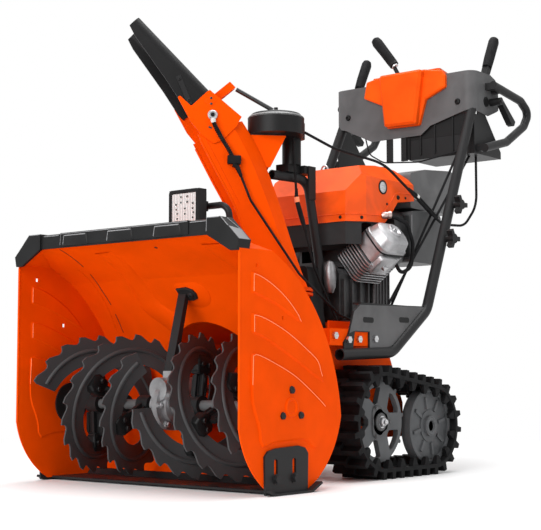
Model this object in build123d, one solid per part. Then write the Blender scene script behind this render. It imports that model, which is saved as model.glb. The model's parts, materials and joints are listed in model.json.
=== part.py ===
"""Tracked two-stage snow blower: intake, auger, impeller, chute, engine, tracks and handles."""
import os
from math import asin, cos, degrees, hypot, pi, radians, sin

from build123d import *

# Driving dimensions in millimetres; lengths along Y start at the front edge of the intake
SHEET = 3.0
HALF_WIDTH = 347.0
PANEL_X = HALF_WIDTH + 2.5
SHOE_BOLT_Y = (113.0, 175.0)
SHOE_BOLT_Z = 34.0
AUGER_Y = 167.0
AUGER_Z = 183.0
OVERALL_FRONT = -8.0
OVERALL_REAR = 1406.2
MID_Y = (OVERALL_FRONT + OVERALL_REAR) / 2

# Top rail
RAIL_FRONT = OVERALL_FRONT
RAIL_PANELS = (-142.0, 3.0, 148.0)
RAIL_PANEL_HALF = 36.5

# Auger and gear case
FLIGHT_RADIUS = 165.0
FLIGHT_INNER = 95.0
FLIGHT_THICK = 4.0
FLIGHT_PITCH = 252.0
FLIGHT_START = 22.0
FLIGHT_END = 298.0
TOOTH_ANGLE = 18.0
TOOTH_DEPTH = 14.0
SHAFT_RADIUS = 12.0
RUNNING_FIT = 0.06
WORM_WHEEL_RADIUS = 26.0
WORM_RADIUS = 9.5
MESH_GAP = 0.5
IMPELLER_Z = AUGER_Z + WORM_WHEEL_RADIUS + WORM_RADIUS + MESH_GAP
ARM_POSITIONS = (78.0, 164.0, 250.0)
ARM_GAP = 0.5

# Impeller drum and belt drive
DRUM_RADIUS = 158.0
DRUM_BACK = 590.0
IMPELLER_RADIUS = 150.0
IMPELLER_FRONT = 405.0
IMPELLER_REAR = 570.0
IMPELLER_SHAFT_RADIUS = 10.0
PULLEY_FRONT = 606.0
PULLEY_REAR = 632.0
IMPELLER_PULLEY_RADIUS = 72.0
ENGINE_PULLEY_RADIUS = 36.0

# Chute, measured from its turning axis
CHUTE_X = 45.0
CHUTE_Y = 493.0
CHUTE_TURN = -43.0
CHUTE_HALF = 70.0
CHUTE_BASE_Z = 458.0
COLLAR_RADIUS = 74.0
DEFLECTOR_S = 167.0
DEFLECTOR_Z = 884.0

# Engine
DECK_Z = 385.0
CRANK_Z = 466.0
CYLINDER_Y = 794.0
CYLINDER_TILT = 38.0

# Tracks
FRAME_X = 167.0
AXLE_RADIUS = 12.0
TRACK_INNER_X = 174.0
TRACK_OUTER_X = 290.0
SPROCKET_Y = 619.0
SPROCKET_Z = 138.0
WHEEL_Y = 840.0
WHEEL_Z = 122.0
LUG_HEIGHT = 17.0
BELT_THICK = 9.0
LUG_COUNT = 30

# Handles and dash
HANDLE_TUBE = 14.0
HANDLE_WALL = 2.0
DASH_Y = 1130.0
DASH_FOLD = 28.0
LEVER_X = 225.0
LEVER_PIVOT_Y = 1205.0
LEVER_PIVOT_Z = 1072.0
LOOP_X = 266.0
TRAY_Z = 872.0
TRIGGER_Y = 1226.0
TRIGGER_Z = 1024.0
SPEED_X = -14.0
SPEED_Y = 1166.0
SPEED_Z = 1070.0
KNOB_HEIGHTS = (614.0, 710.0)
LAMP_PIVOT = (-16.0, 262.0, 655.0)
LAMP_DROP = 62.0
HEAD_BASE_Z = 763.0
POST_RADIUS = 12.0


# Shape helpers
def box(x0, x1, y0, y1, z0, z1):
    """Block between two corners."""
    return Pos((x0 + x1) / 2, (y0 + y1) / 2, (z0 + z1) / 2) * Box(x1 - x0, y1 - y0, z1 - z0)


def rod_x(x0, x1, y, z, radius):
    """Round bar along X."""
    return Pos((x0 + x1) / 2, y, z) * Rot(0, 90, 0) * Cylinder(radius, abs(x1 - x0))


def rod_y(x, y0, y1, z, radius):
    """Round bar along Y."""
    return Pos(x, (y0 + y1) / 2, z) * Rot(90, 0, 0) * Cylinder(radius, abs(y1 - y0))


def rod_z(x, y, z0, z1, radius):
    """Round bar along Z."""
    return Pos(x, y, (z0 + z1) / 2) * Cylinder(radius, abs(z1 - z0))


def outline(points, radius=0.0):
    """Closed flat outline, with rounded corners if a radius is given."""
    if radius:
        return make_face(FilletPolyline(*points, radius=radius, close=True))
    return make_face(Polyline(*points, close=True))


def plate_x(points, x0, x1, radius=0.0):
    """Plate with an outline in Y and Z."""
    return extrude(Plane.YZ.offset(x0) * outline(points, radius), amount=x1 - x0, dir=(1, 0, 0))


def plate_y(points, y0, y1, radius=0.0):
    """Plate with an outline in X and Z."""
    return extrude(Plane.XZ.offset(-y0) * outline(points, radius), amount=y1 - y0, dir=(0, 1, 0))


def plate_z(points, z0, z1, radius=0.0):
    """Plate with an outline in X and Y."""
    return extrude(Plane.XY.offset(z0) * outline(points, radius), amount=z1 - z0, dir=(0, 0, 1))


def tube(points, bend, radius, wall=0.0):
    """Tube or solid wire along straight runs joined by arcs."""
    path = FilletPolyline(*points, radius=bend) if len(points) > 2 else Line(*points)
    section = Circle(radius) - Circle(radius - wall) if wall else Circle(radius)
    return sweep(Plane(origin=path @ 0, z_dir=path % 0) * section, path=path)


def hex_x(x0, x1, y, z, radius):
    """Six-sided bolt head along X."""
    head = Plane.YZ.offset(min(x0, x1)) * Pos(y, z) * RegularPolygon(radius, 6)
    return extrude(head, amount=abs(x1 - x0), dir=(1, 0, 0))


def flip(shape):
    """Same shape on the other side of the machine."""
    return mirror(shape, about=Plane.YZ)


def group(*shapes):
    """Several separate solids as one piece."""
    return Compound(children=[solid for shape in shapes for solid in shape.solids()])


def both(shape):
    """Left and right copies as one piece."""
    return group(shape, flip(shape))


def save(name, shape):
    """Write one piece in the shared frame."""
    export_step(Pos(0, -MID_Y, 0) * shape, f"parts/{name}.step")


# Intake housing
def side_outline(inset=0.0):
    """Outline of a side plate, moved in by a distance."""
    edges = [
        Line((0, 556), (0, 140)),
        ThreePointArc((0, 140), (34, 62), (99, 6)),
        Line((99, 6), (228, 6)),
        ThreePointArc((228, 6), (318, 82), (351, 160)),
        ThreePointArc((351, 160), (300, 330), (167, 481)),
        ThreePointArc((167, 481), (90, 522), (0, 556)),
    ]
    face = make_face(edges)
    return offset(face, amount=-inset) if inset else face


def corner_wedge(side, drop):
    """Space above the sloping top corner."""
    points = [(276, 556 - drop), (420, 556 - drop - 144 * 42 / 71), (420, 640), (276, 640)]
    return plate_y([(side * x, z) for x, z in points], -30, 420)


def housing_space(inset, half, drop):
    """Solid inside the housing for a given inset."""
    space = extrude(Plane.YZ.offset(-half) * side_outline(inset), amount=2 * half, dir=(1, 0, 0))
    return space - corner_wedge(1, drop) - corner_wedge(-1, drop)


def drum_cylinder(radius, y0, y1):
    """Cylinder on the impeller axis."""
    return rod_y(0, y0, y1, IMPELLER_Z, radius)


def make_housing():
    """Bent intake sheet with the impeller opening."""
    sheet = housing_space(2.0, HALF_WIDTH - SHEET, 0.0) - housing_space(2.0 + SHEET, HALF_WIDTH + 20, SHEET)
    sheet -= box(-400, 400, -20, 8, -20, 640)
    sheet -= box(-400, 400, -20, 236, -20, 200)
    sheet -= drum_cylinder(DRUM_RADIUS, 180, 420)
    return sheet


UPPER_LEAF = [(43, 460), (64, 457), (104, 441), (147, 416), (184, 385), (198, 371), (178, 379), (122, 403),
              (82, 416), (43, 426)]
MIDDLE_LEAF = [(43, 374), (66, 371), (115, 356), (164, 335), (221, 304), (257, 281), (268, 258), (275, 244),
               (262, 250), (203, 280), (146, 306), (84, 332), (43, 343)]
LOW_PANEL = [(43, 236), (43, 286), (53, 291), (113, 273), (181, 246), (244, 208), (283, 181), (288, 171),
             (283, 145), (266, 112), (255, 97), (240, 103), (224, 114), (200, 118), (115, 116), (92, 111),
             (74, 109), (70, 141), (47, 191)]


def ridge(points):
    """Raised panel on the outside of the left side plate."""
    return plate_x(points, HALF_WIDTH, PANEL_X)


def make_side_plate():
    """Left side plate with raised panels and bearing boss."""
    plate = extrude(Plane.YZ.offset(HALF_WIDTH - SHEET) * side_outline(), amount=SHEET, dir=(1, 0, 0))
    plate -= corner_wedge(1, 0.0)
    for points in (UPPER_LEAF, MIDDLE_LEAF, LOW_PANEL):
        plate += ridge(points)
    plate += rod_x(HALF_WIDTH, PANEL_X + 2.5, AUGER_Y, AUGER_Z, 20)
    plate -= rod_x(HALF_WIDTH - 1, PANEL_X + 3, AUGER_Y, AUGER_Z, 14)
    for y, z in ((56, 480), (143, 373)):
        plate -= box(HALF_WIDTH - 10, HALF_WIDTH + 10, y - 4, y + 4, z - 4, z + 4)
    return plate


def make_rail():
    """Plastic rail over the top front edge with three low panels and sloping ends."""
    bar = plate_x([(-4, 545), (-4, 576), (10, 580), (40, 576), (46, 545)], -280, 280)
    bar += box(-194, 208, RAIL_FRONT + 2, 10, 549, 579)
    corner = [(262, 545), (262, 581), (300, 581), (351, 531), (346, 508), (328, 508)]
    for side in (1, -1):
        bar += plate_y([(side * x, z) for x, z in corner], RAIL_FRONT, 32)
    for x in RAIL_PANELS:
        bar += box(x - RAIL_PANEL_HALF, x + RAIL_PANEL_HALF, RAIL_FRONT, 10, 549, 573)
    roof = housing_space(0.0, HALF_WIDTH + 0.01, 0.0)
    return bar - roof


def make_scraper():
    """Flat wear bar under the intake."""
    return box(-HALF_WIDTH + SHEET, HALF_WIDTH - SHEET, 112, 236, 4, 9)


def make_shoe():
    """Left skid shoe with two slots and a curved runner."""
    shape = [(79, 2), (77, 82), (88, 93), (112, 98), (190, 101), (213, 96), (224, 84), (222, 2)]
    plate = plate_x(shape, HALF_WIDTH, HALF_WIDTH + 5, 3)
    for y in SHOE_BOLT_Y:
        slot = [(y - 6, 28), (y + 6, 28), (y + 6, 76), (y - 6, 76)]
        plate -= plate_x(slot, HALF_WIDTH - 1, HALF_WIDTH + 6, 5.5)
    runner = plate_x([(79, 8), (100, 0), (226, 0), (262, 18), (258, 22), (224, 5), (102, 5), (81, 13)],
                     HALF_WIDTH, HALF_WIDTH + 16)
    return plate + runner


def make_shoe_bolts():
    """Shoe bolts of both sides."""
    bolts = None
    for y in SHOE_BOLT_Y:
        head = rod_x(HALF_WIDTH + 5, HALF_WIDTH + 7, y, SHOE_BOLT_Z, 11)
        head += hex_x(HALF_WIDTH + 7, HALF_WIDTH + 13, y, SHOE_BOLT_Z, 9)
        head += rod_x(HALF_WIDTH, HALF_WIDTH + 5, y, SHOE_BOLT_Z, 5)
        bolts = head if bolts is None else bolts + head
    return Compound(children=[*bolts.solids(), *flip(bolts).solids()])


def bearing_points():
    """Bolt centres of a bearing flange."""
    return [(AUGER_Y + 36 * sin(radians(a)), AUGER_Z + 36 * cos(radians(a))) for a in (0, 120, 240)]


def make_bearing():
    """Left auger bearing flange inside the side plate."""
    inner = HALF_WIDTH - SHEET
    body = rod_x(inner - 6, inner, AUGER_Y, AUGER_Z, 50) + rod_x(inner - 22, inner - 6, AUGER_Y, AUGER_Z, 24)
    return body - rod_x(inner - 30, inner - 4, AUGER_Y, AUGER_Z, SHAFT_RADIUS + RUNNING_FIT)


def make_bearing_bolts():
    """Three hex bolts on each side plate."""
    heads = []
    for y, z in bearing_points():
        head = hex_x(PANEL_X, PANEL_X + 6, y, z, 8) + rod_x(PANEL_X, PANEL_X + 1.5, y, z, 10)
        heads += [*head.solids(), *flip(head).solids()]
    return Compound(children=heads)


# Gear case and brace
def make_gear_case():
    """Cast gear case round the worm and its wheel."""
    case = rod_x(-20, 20, AUGER_Y, AUGER_Z, 42) + drum_cylinder(27, AUGER_Y - 46, AUGER_Y + 74)
    case += rod_x(-7, 7, AUGER_Y, AUGER_Z, 58)
    case += rod_x(-46, 46, AUGER_Y, AUGER_Z, 26)
    case += box(-13, 13, AUGER_Y - 16, AUGER_Y + 16, IMPELLER_Z + 10, IMPELLER_Z + 42)
    for angle in range(0, 360, 60):
        y = AUGER_Y + 50 * cos(radians(angle))
        z = AUGER_Z + 50 * sin(radians(angle))
        case += rod_x(-12, 12, y, z, 8)
    case -= rod_x(-13, 13, AUGER_Y, AUGER_Z, WORM_WHEEL_RADIUS + 3)
    case -= drum_cylinder(WORM_RADIUS + 3, AUGER_Y - 30, AUGER_Y + 30)
    case -= rod_x(-60, 60, AUGER_Y, AUGER_Z, SHAFT_RADIUS + RUNNING_FIT)
    case -= drum_cylinder(WORM_RADIUS + RUNNING_FIT, AUGER_Y - 34, AUGER_Y + 90)
    return case


def make_brace():
    """Flat strut from the gear case to the housing."""
    top = IMPELLER_Z + 42
    points = [(270, 462), (205, 462), (AUGER_Y - 14, top), (AUGER_Y + 2, top), (214, 448), (270, 448)]
    return plate_x(points, -12, 12) & housing_space(2.0 + SHEET, HALF_WIDTH, SHEET)


# Auger
def flight_section(angle, x, outer, hand):
    """Closed section of a flight at one angle."""
    back = -hand * FLIGHT_THICK
    profile = [(outer, 0), (FLIGHT_INNER, 0), (FLIGHT_INNER, back), (outer, back)]
    points = []
    for r, dx in profile:
        points.append(Vector(x + dx, AUGER_Y + r * cos(radians(angle)), AUGER_Z + r * sin(radians(angle))))
    return Face(Wire.make_polygon(points, close=True))


def tooth_steps(total):
    """Angles and outer radii along a toothed edge."""
    notch = TOOTH_DEPTH
    shape = ((0.0, notch), (2.5, notch - 1.0), (10.0, 2.0), (14.5, 0.0), (16.0, notch - 3.0))
    steps = []
    tooth = 0
    while tooth * TOOTH_ANGLE < total:
        for part, depth in shape:
            angle = tooth * TOOTH_ANGLE + part
            if angle <= total:
                steps.append((angle, FLIGHT_RADIUS - depth))
        tooth += 1
    return steps


def make_flight(side, phase):
    """Serrated ribbon from the centre to one end."""
    total = (FLIGHT_END - FLIGHT_START) / FLIGHT_PITCH * 360
    sections = []
    for step, outer in tooth_steps(total):
        x = side * (FLIGHT_START + step / 360 * FLIGHT_PITCH)
        sections.append(flight_section(phase + step, x, outer, -side))
    return loft(sections, ruled=True)


def flight_angle(side, phase, x):
    """Angle of a flight at a distance from the centre."""
    return phase + (x - FLIGHT_START) / FLIGHT_PITCH * 360


RIGHT_PHASE = 195.0 - (69.0 - FLIGHT_START) / FLIGHT_PITCH * 360
LEFT_PHASE = 174.0 - (142.0 - FLIGHT_START) / FLIGHT_PITCH * 360


def make_arms(side, phase):
    """Cross bars that carry both flights of one side."""
    arms = []
    for x in ARM_POSITIONS:
        angle = flight_angle(side, phase, x)
        mid = side * x
        bar = box(-4, 4, -FLIGHT_INNER, FLIGHT_INNER, -14, 14)
        bar += box(-11, 11, 72, FLIGHT_INNER, -20, 20) + box(-11, 11, -FLIGHT_INNER, -72, -20, 20)
        bar &= Rot(0, 90, 0) * Cylinder(FLIGHT_INNER - ARM_GAP, 60)
        bar += Rot(0, 90, 0) * Cylinder(22, 36)
        bar -= Rot(0, 90, 0) * Cylinder(SHAFT_RADIUS, 60)
        arms.append(Pos(mid, AUGER_Y, AUGER_Z) * Rot(angle, 0, 0) * bar)
    return Compound(children=[solid for arm in arms for solid in arm.solids()])


def make_auger_shaft():
    """Auger shaft with the worm wheel."""
    half = HALF_WIDTH - SHEET - 5
    shaft = rod_x(-half, half, AUGER_Y, AUGER_Z, SHAFT_RADIUS)
    return shaft + rod_x(-10, 10, AUGER_Y, AUGER_Z, WORM_WHEEL_RADIUS)


# Impeller and drive
def make_drum():
    """Impeller drum with a back plate and the chute collar."""
    tube_part = drum_cylinder(DRUM_RADIUS + SHEET, 200, DRUM_BACK)
    collar = rod_z(CHUTE_X, CHUTE_Y, IMPELLER_Z, CHUTE_BASE_Z - 2, COLLAR_RADIUS)
    flange = rod_z(CHUTE_X, CHUTE_Y, CHUTE_BASE_Z - 10, CHUTE_BASE_Z - 4, COLLAR_RADIUS + 18)
    body = tube_part + collar + flange
    body -= drum_cylinder(DRUM_RADIUS, 190, DRUM_BACK - SHEET)
    body -= rod_z(CHUTE_X, CHUTE_Y, IMPELLER_Z, CHUTE_BASE_Z + 10, COLLAR_RADIUS - SHEET)
    body -= drum_cylinder(IMPELLER_SHAFT_RADIUS + 6, DRUM_BACK - 20, DRUM_BACK + 20)
    return body - housing_space(2.0, HALF_WIDTH - SHEET, 0.0)


def make_impeller_bearing():
    """Bearing flange on the back of the drum."""
    body = drum_cylinder(34, DRUM_BACK, DRUM_BACK + 5) + drum_cylinder(20, DRUM_BACK, DRUM_BACK + 12)
    return body - drum_cylinder(IMPELLER_SHAFT_RADIUS + RUNNING_FIT, DRUM_BACK - 5, DRUM_BACK + 20)


def make_impeller():
    """Fan with five blades."""
    body = drum_cylinder(24, IMPELLER_FRONT + 20, IMPELLER_REAR)
    body += drum_cylinder(70, IMPELLER_REAR - 5, IMPELLER_REAR)
    for index in range(5):
        blade = box(10, IMPELLER_RADIUS, IMPELLER_FRONT, IMPELLER_REAR, -3, 3)
        blade += box(IMPELLER_RADIUS - 8, IMPELLER_RADIUS - 2, IMPELLER_FRONT, IMPELLER_REAR, -3, 26)
        body += Pos(0, 0, IMPELLER_Z) * Rot(0, 72 * index + 10, 0) * blade
    return body - drum_cylinder(IMPELLER_SHAFT_RADIUS, 200, 700)


def make_impeller_shaft():
    """Impeller shaft with the worm at its front."""
    shaft = drum_cylinder(IMPELLER_SHAFT_RADIUS, AUGER_Y + 92, PULLEY_REAR)
    return shaft + drum_cylinder(WORM_RADIUS, AUGER_Y - 28, AUGER_Y + 92)


def make_pulley(radius, z):
    """Grooved pulley on a Y axis through X zero."""
    y0, y1 = PULLEY_FRONT, PULLEY_REAR
    groove = 6.0
    body = rod_y(0, y0, y0 + groove, z, radius + 8) + rod_y(0, y1 - groove, y1, z, radius + 8)
    return body + rod_y(0, y0, y1, z, radius)


def make_impeller_pulley():
    """Large pulley bored for the impeller shaft."""
    return make_pulley(IMPELLER_PULLEY_RADIUS, IMPELLER_Z) - drum_cylinder(IMPELLER_SHAFT_RADIUS, 500, 700)


def make_engine_pulley():
    """Small pulley with the crankshaft end."""
    return make_pulley(ENGINE_PULLEY_RADIUS, CRANK_Z) + rod_y(0, PULLEY_REAR - 4, 720, CRANK_Z, 12)


def make_belt():
    """Drive belt round both pulleys."""
    gap = 0.6
    high = CRANK_Z - IMPELLER_Z
    big, small = IMPELLER_PULLEY_RADIUS + gap, ENGINE_PULLEY_RADIUS + gap
    lean = asin((big - small) / high)

    def loop(extra):
        a, b = big + extra, small + extra
        low = [(a * cos(lean), a * sin(lean)), (0, -a), (-a * cos(lean), a * sin(lean))]
        top = [(-b * cos(lean), high + b * sin(lean)), (0, high + b), (b * cos(lean), high + b * sin(lean))]
        edges = [ThreePointArc(*low), Line(low[2], top[0]), ThreePointArc(*top), Line(top[2], low[0])]
        return make_face(edges)

    y0, y1 = PULLEY_FRONT + 6.5, PULLEY_REAR - 6.5
    ring = Plane.XZ.offset(-y0) * Pos(0, IMPELLER_Z) * (loop(9) - loop(0))
    return extrude(ring, amount=y1 - y0, dir=(0, 1, 0))


def make_belt_cover():
    """Cover behind the drum over the belt drive."""
    y0, y1 = DRUM_BACK, PULLEY_REAR + 5
    points = [(-98, 122), (98, 122), (98, 330), (66, 528), (-66, 528), (-98, 330)]
    inner = [(-95, 125), (95, 125), (95, 330), (63, 525), (-63, 525), (-95, 330)]
    shell = plate_y(points, y0, y1, 12) - plate_y(inner, y0 + SHEET, y1 - SHEET, 10)
    shell -= drum_cylinder(36, DRUM_BACK - 10, DRUM_BACK + 14)
    return shell - rod_y(0, y1 - 10, y1 + 10, CRANK_Z, 22)


# Chute, built pointing forward and then turned to its rest direction
CHUTE_STATIONS = (
    ((80, 458), (-78, 458)),
    ((78, 565), (-48, 535)),
    ((112, 663), (-14, 640)),
    ((155, 745), (22, 745)),
    ((203, 836), (90, 878)),
)
SPINE_HALF = 36.0
DEFLECTOR_HALF = CHUTE_HALF + 1.0
DEFLECTOR_BOLT = 6.0


def chute_section(front, spine, shrink, open_front):
    """Six-sided section between a front edge and a spine."""
    run = hypot(spine[0] - front[0], spine[1] - front[1])
    ds, dz = (spine[0] - front[0]) / run, (spine[1] - front[1]) / run
    front_shift = -30.0 if open_front else shrink
    wide = CHUTE_HALF - shrink
    levels = ((front_shift, wide), (run * 0.72, wide), (run - shrink, SPINE_HALF - shrink))
    points = []
    for along, half in levels:
        points.append(Vector(half, -(front[0] + ds * along), front[1] + dz * along))
    for along, half in reversed(levels):
        points.append(Vector(-half, -(front[0] + ds * along), front[1] + dz * along))
    return Face(Wire.make_polygon(points, close=True))


def place_chute(shape):
    """Chute piece from its own frame to its rest place."""
    return Pos(CHUTE_X, CHUTE_Y, 0) * Rot(0, 0, CHUTE_TURN) * shape


def chute_plate(points, x0, x1, radius=0.0):
    """Plate in the chute frame with an outline in forward distance and Z."""
    return plate_x([(-s, z) for s, z in points], x0, x1, radius)


def make_chute():
    """Sheet chute with a round base ring and an open front."""
    outer = loft([chute_section(f, s, 0.0, False) for f, s in CHUTE_STATIONS])
    inner = [chute_section(f, s, SHEET, index > 1) for index, (f, s) in enumerate(CHUTE_STATIONS)]
    space = loft(inner)
    body = outer - space + (make_head_bracket() - space)
    base = rod_z(0, 0, CHUTE_BASE_Z, CHUTE_BASE_Z + 8, 92)
    hole = rod_z(0, 0, CHUTE_BASE_Z - 10, CHUTE_BASE_Z + 20, COLLAR_RADIUS - SHEET)
    first = chute_section(*CHUTE_STATIONS[0], SHEET, False)
    body += base - extrude(Pos(0, 0, -1) * first, amount=12, dir=(0, 0, 1)) - hole
    for side in (1, -1):
        x0, x1 = sorted((side * (CHUTE_HALF - SHEET), side * CHUTE_HALF))
        body += chute_plate([(196, 840), (196, 898), (146, 904), (108, 874), (130, 845)], x0, x1, 8)
        body -= rod_x(x0 - 5, x1 + 5, -DEFLECTOR_S, DEFLECTOR_Z, DEFLECTOR_BOLT)
    return body


def make_head_bracket():
    """Bracket from the chute spine to the turning head."""
    cheeks = None
    for side in (1, -1):
        points = [(80, 842), (-20, 842), (19, 765), (45, 765)]
        cheek = chute_plate(points, min(side * 30, side * 33), max(side * 30, side * 33))
        cheeks = cheek if cheeks is None else cheeks + cheek
    top = chute_plate([(80, 842), (80, 845), (-20, 845), (-20, 842)], -33, 33)
    return cheeks + top


def make_deflector_cheeks():
    """Deflector hinge plates with the lever arm."""
    points = [(262, 944), (219, 905), (177, 945), (141, 917), (97, 879), (107, 859), (142, 823), (164, 814),
              (195, 836), (219, 865)]
    body = None
    for side in (1, -1):
        x0, x1 = sorted((side * (CHUTE_HALF + 1), side * (CHUTE_HALF + 4)))
        cheek = chute_plate(points, x0, x1, 4)
        cheek -= rod_x(x0 - 1, x1 + 1, -DEFLECTOR_S, DEFLECTOR_Z, DEFLECTOR_BOLT + RUNNING_FIT)
        body = cheek if body is None else body + cheek
    cover = chute_plate([(176, 944.2), (97, 879), (95, 881.5), (174, 946.7)], -CHUTE_HALF - 4, CHUTE_HALF + 4)
    arm = chute_plate([(170, 938), (118, 982), (104, 968), (152, 927)], -14, 14) \
        - chute_plate([(160, 934), (118, 970), (104, 960), (140, 925)], -11, 11)
    return body + cover + arm


def make_deflector():
    """Plastic throw channel, open below."""
    e = (0.6989, 0.7153)
    f = (e[1], -e[0])

    def at(s, z, along, down):
        return (s + e[0] * along + f[0] * down, z + e[1] * along + f[1] * down)

    start, tip = (173, 948.8), (346, 1126)
    points = [start, tip, (370, 1101), (357, 1076), (280, 969), (240, 908), (228, 896.4)]
    channel = chute_plate(points, -DEFLECTOR_HALF, DEFLECTOR_HALF)
    low, high = at(*start, -40, 4), at(*tip, 40, 4)
    room = [low, high, at(*high, 0, 150), at(*low, 0, 150)]
    hollow = chute_plate(room, -DEFLECTOR_HALF + 4, DEFLECTOR_HALF - 4)

    def top_edges(shape):
        picked = []
        for edge in shape.edges():
            way = edge.tangent_at(0.5)
            if abs(abs(way.Y * -e[0] + way.Z * e[1]) - 1) < 0.01:
                picked.append(edge)
        least = min(edge.center().Z * f[1] - edge.center().Y * f[0] for edge in picked)
        return [edge for edge in picked if edge.center().Z * f[1] - edge.center().Y * f[0] < least + 1.0]

    channel = fillet(top_edges(channel), 26)
    hollow = fillet(top_edges(hollow), 22)
    return channel - hollow


def make_deflector_bolts():
    """Pivot bolts through the hinge plates."""
    solids = []
    for side in (1, -1):
        tip = side * (DEFLECTOR_HALF + 3.4)
        x0, x1 = sorted((side * (CHUTE_HALF - 6), side * (DEFLECTOR_HALF + 10)))
        bolt = rod_x(x0, x1, -DEFLECTOR_S, DEFLECTOR_Z, DEFLECTOR_BOLT)
        x0, x1 = sorted((tip, side * (DEFLECTOR_HALF + 8)))
        bolt += rod_x(x0, x1, -DEFLECTOR_S, DEFLECTOR_Z, 12)
        solids += bolt.solids()
    return Compound(children=solids)


def make_deflector_spring():
    """Return spring between the lever arm and the head."""
    return tube([(0, -101, 965.5), (0, -8.2, 915)], 1, 5.5)


CABLE_SIDE = CHUTE_HALF + 9


def make_deflector_cable():
    """Cable from the pivot bolt down the chute wall."""
    points = [(DEFLECTOR_HALF + 14, -DEFLECTOR_S, DEFLECTOR_Z - 13), (CABLE_SIDE, -126, 796),
              (CABLE_SIDE, -104, 752), (CABLE_SIDE, -74, 676), (CABLE_SIDE, 46, 497)]
    return tube(points, 60, 3.0)


def make_cable_clamp():
    """Clamp of the deflector cable on the chute wall."""
    return box(CHUTE_HALF, CABLE_SIDE + 7, -130, -98, 764, 784) - make_deflector_cable()


# Turning head, post and lamp
def make_head_cap():
    """Cover over the turning gear."""
    x, y = CHUTE_X, CHUTE_Y
    half = [(0, 850), (71, 850), (71, 894), (61, 904), (5, 904), (5, 922), (0, 922)]
    profile = make_face(Plane.XZ * Polyline(*half, close=True))
    body = Pos(x, y, 0) * revolve(profile, Axis.Z, 360)
    body += rod_z(x, y + 63, 850, 890, 34)
    return body + plate_z([(x - 60, y + 30), (x + 60, y + 30), (x + 33, y + 63), (x - 33, y + 63)], 850, 890)


def make_head_drum():
    """Gear drum, base plate and strap under the cap."""
    x, y = CHUTE_X, CHUTE_Y + 63
    body = rod_z(x, y, 783, 850, 24) + box(x - 26, x + 13, y - 31, y + 62, HEAD_BASE_Z, 783)
    body += box(x + 13, x + 26, y + 20, y + 62, HEAD_BASE_Z, 783)
    return body + box(x + 26, x + 30, y + 33, y + 62, 698, 783)


def make_post():
    """Bent tube that carries the turning head."""
    z = HEAD_BASE_Z - POST_RADIUS
    return tube([(60, 650, 385), (60, 650, 545), (57, 606, z), (41, 480, z)], [120, 42], POST_RADIUS, 2)


def make_lamp_bracket():
    """Bent tube and fork for the lamp."""
    x, y, z = LAMP_PIVOT
    bar = tube([(x, y + 26, z), (64, y + 26, z), (64, y + 58, 500), (64, y + 70, 340)], 24, 8)
    bar -= drum_cylinder(DRUM_RADIUS + SHEET, 200, DRUM_BACK)
    bar -= housing_space(2.0, HALF_WIDTH - SHEET, 0.0)
    fork = box(x - 18, x + 18, y + 10, y + 26, z - 12, z + 12)
    fork += box(x - 18, x + 18, y - 6, y + 10, z - 10, z + 10)
    fork -= box(x - 10.5, x + 10.5, y - 20, y + 12, z - 20, z + 20)
    fork -= rod_x(x - 30, x + 30, y, z, 4)
    pin = rod_x(x - 20, x + 20, y, z, 4)
    return bar + fork + pin


def make_lamp():
    """Square lamp body with cooling fins and a rear lug."""
    x, y, z = LAMP_PIVOT
    body = box(x - 48, x + 48, y - 40, y - 14, z - LAMP_DROP, z + 35)
    for index in range(7):
        body += box(x - 40 + index * 12, x - 36 + index * 12, y - 14, y - 11.5, z - LAMP_DROP + 5, z + 30)
    body -= box(x - 43, x + 43, y - 41, y - 36, z - LAMP_DROP + 5, z + 30)
    body += box(x - 10, x + 10, y - 14, y, z - 9, z + 9) + rod_x(x - 10, x + 10, y, z, 9)
    return body - rod_x(x - 20, x + 20, y, z, 4 + RUNNING_FIT)


def make_lamp_lens():
    """Clear front of the lamp."""
    x, y, z = LAMP_PIVOT
    return box(x - 43, x + 43, y - 40, y - 36, z - LAMP_DROP + 5, z + 30)


# Engine
def along_cylinder(shape):
    """Shape built on the Z axis, laid along the leaning cylinder."""
    return Pos(0, CYLINDER_Y, CRANK_Z) * Rot(0, 90 - CYLINDER_TILT, 0) * shape


def slab(low, high, across, width, radius=12.0):
    """Rounded slab across the cylinder axis."""
    return extrude(Plane.XY.offset(low) * RectangleRounded(across, width, radius), amount=high - low)


CYLINDER_ROOM = slab(60, 300, 106, 140, 1)


def make_crankcase():
    """Engine crankcase with ribs, open below."""
    body = box(-95, 95, 690, 830, DECK_Z, 545)
    body = fillet(body.edges().filter_by(Axis.Y), 26)
    body += rod_y(0, 668, 690, CRANK_Z, 62)
    for index in range(4):
        body += box(95, 103, 701 + index * 36, 707 + index * 36, 395, 500)
    body += box(-120, 120, 700, 826, DECK_Z, 393)
    body -= box(-84, 84, 702, 818, DECK_Z - 5, 532)
    return body - rod_y(0, 600, 760, CRANK_Z, 12 + RUNNING_FIT) - along_cylinder(slab(104, 400, 400, 400, 1))


def make_cylinder():
    """Finned cylinder."""
    body = Pos(0, 0, 139) * Cylinder(38, 70)
    for index in range(8):
        body += slab(106 + index * 8.6, 109.4 + index * 8.6, 96, 128, 18)
    return along_cylinder(body)


def make_head():
    """Cylinder head with ports."""
    return along_cylinder(slab(174, 214, 86, 114, 14) + slab(182, 206, 96, 80, 10))


def make_valve_cover():
    """Cover on the cylinder head."""
    body = slab(214, 220, 84, 112, 18) + slab(220, 245, 70, 94, 20) + slab(245, 251, 50, 52, 16)
    return along_cylinder(body)


HOOD_SIDE = [(676, 646), (676, 726), (748, 800), (836, 811), (898, 811), (925, 808), (958, 785), (962, 724),
             (882, 713), (844, 672), (820, 652)]
HOOD_PLAN = [(-126, 676), (126, 676), (150, 735), (150, 967), (-150, 967), (-150, 735)]
HOOD_FRONT = [(-150, 640), (-150, 768), (-106, 812), (106, 812), (150, 768), (150, 640)]


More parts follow.
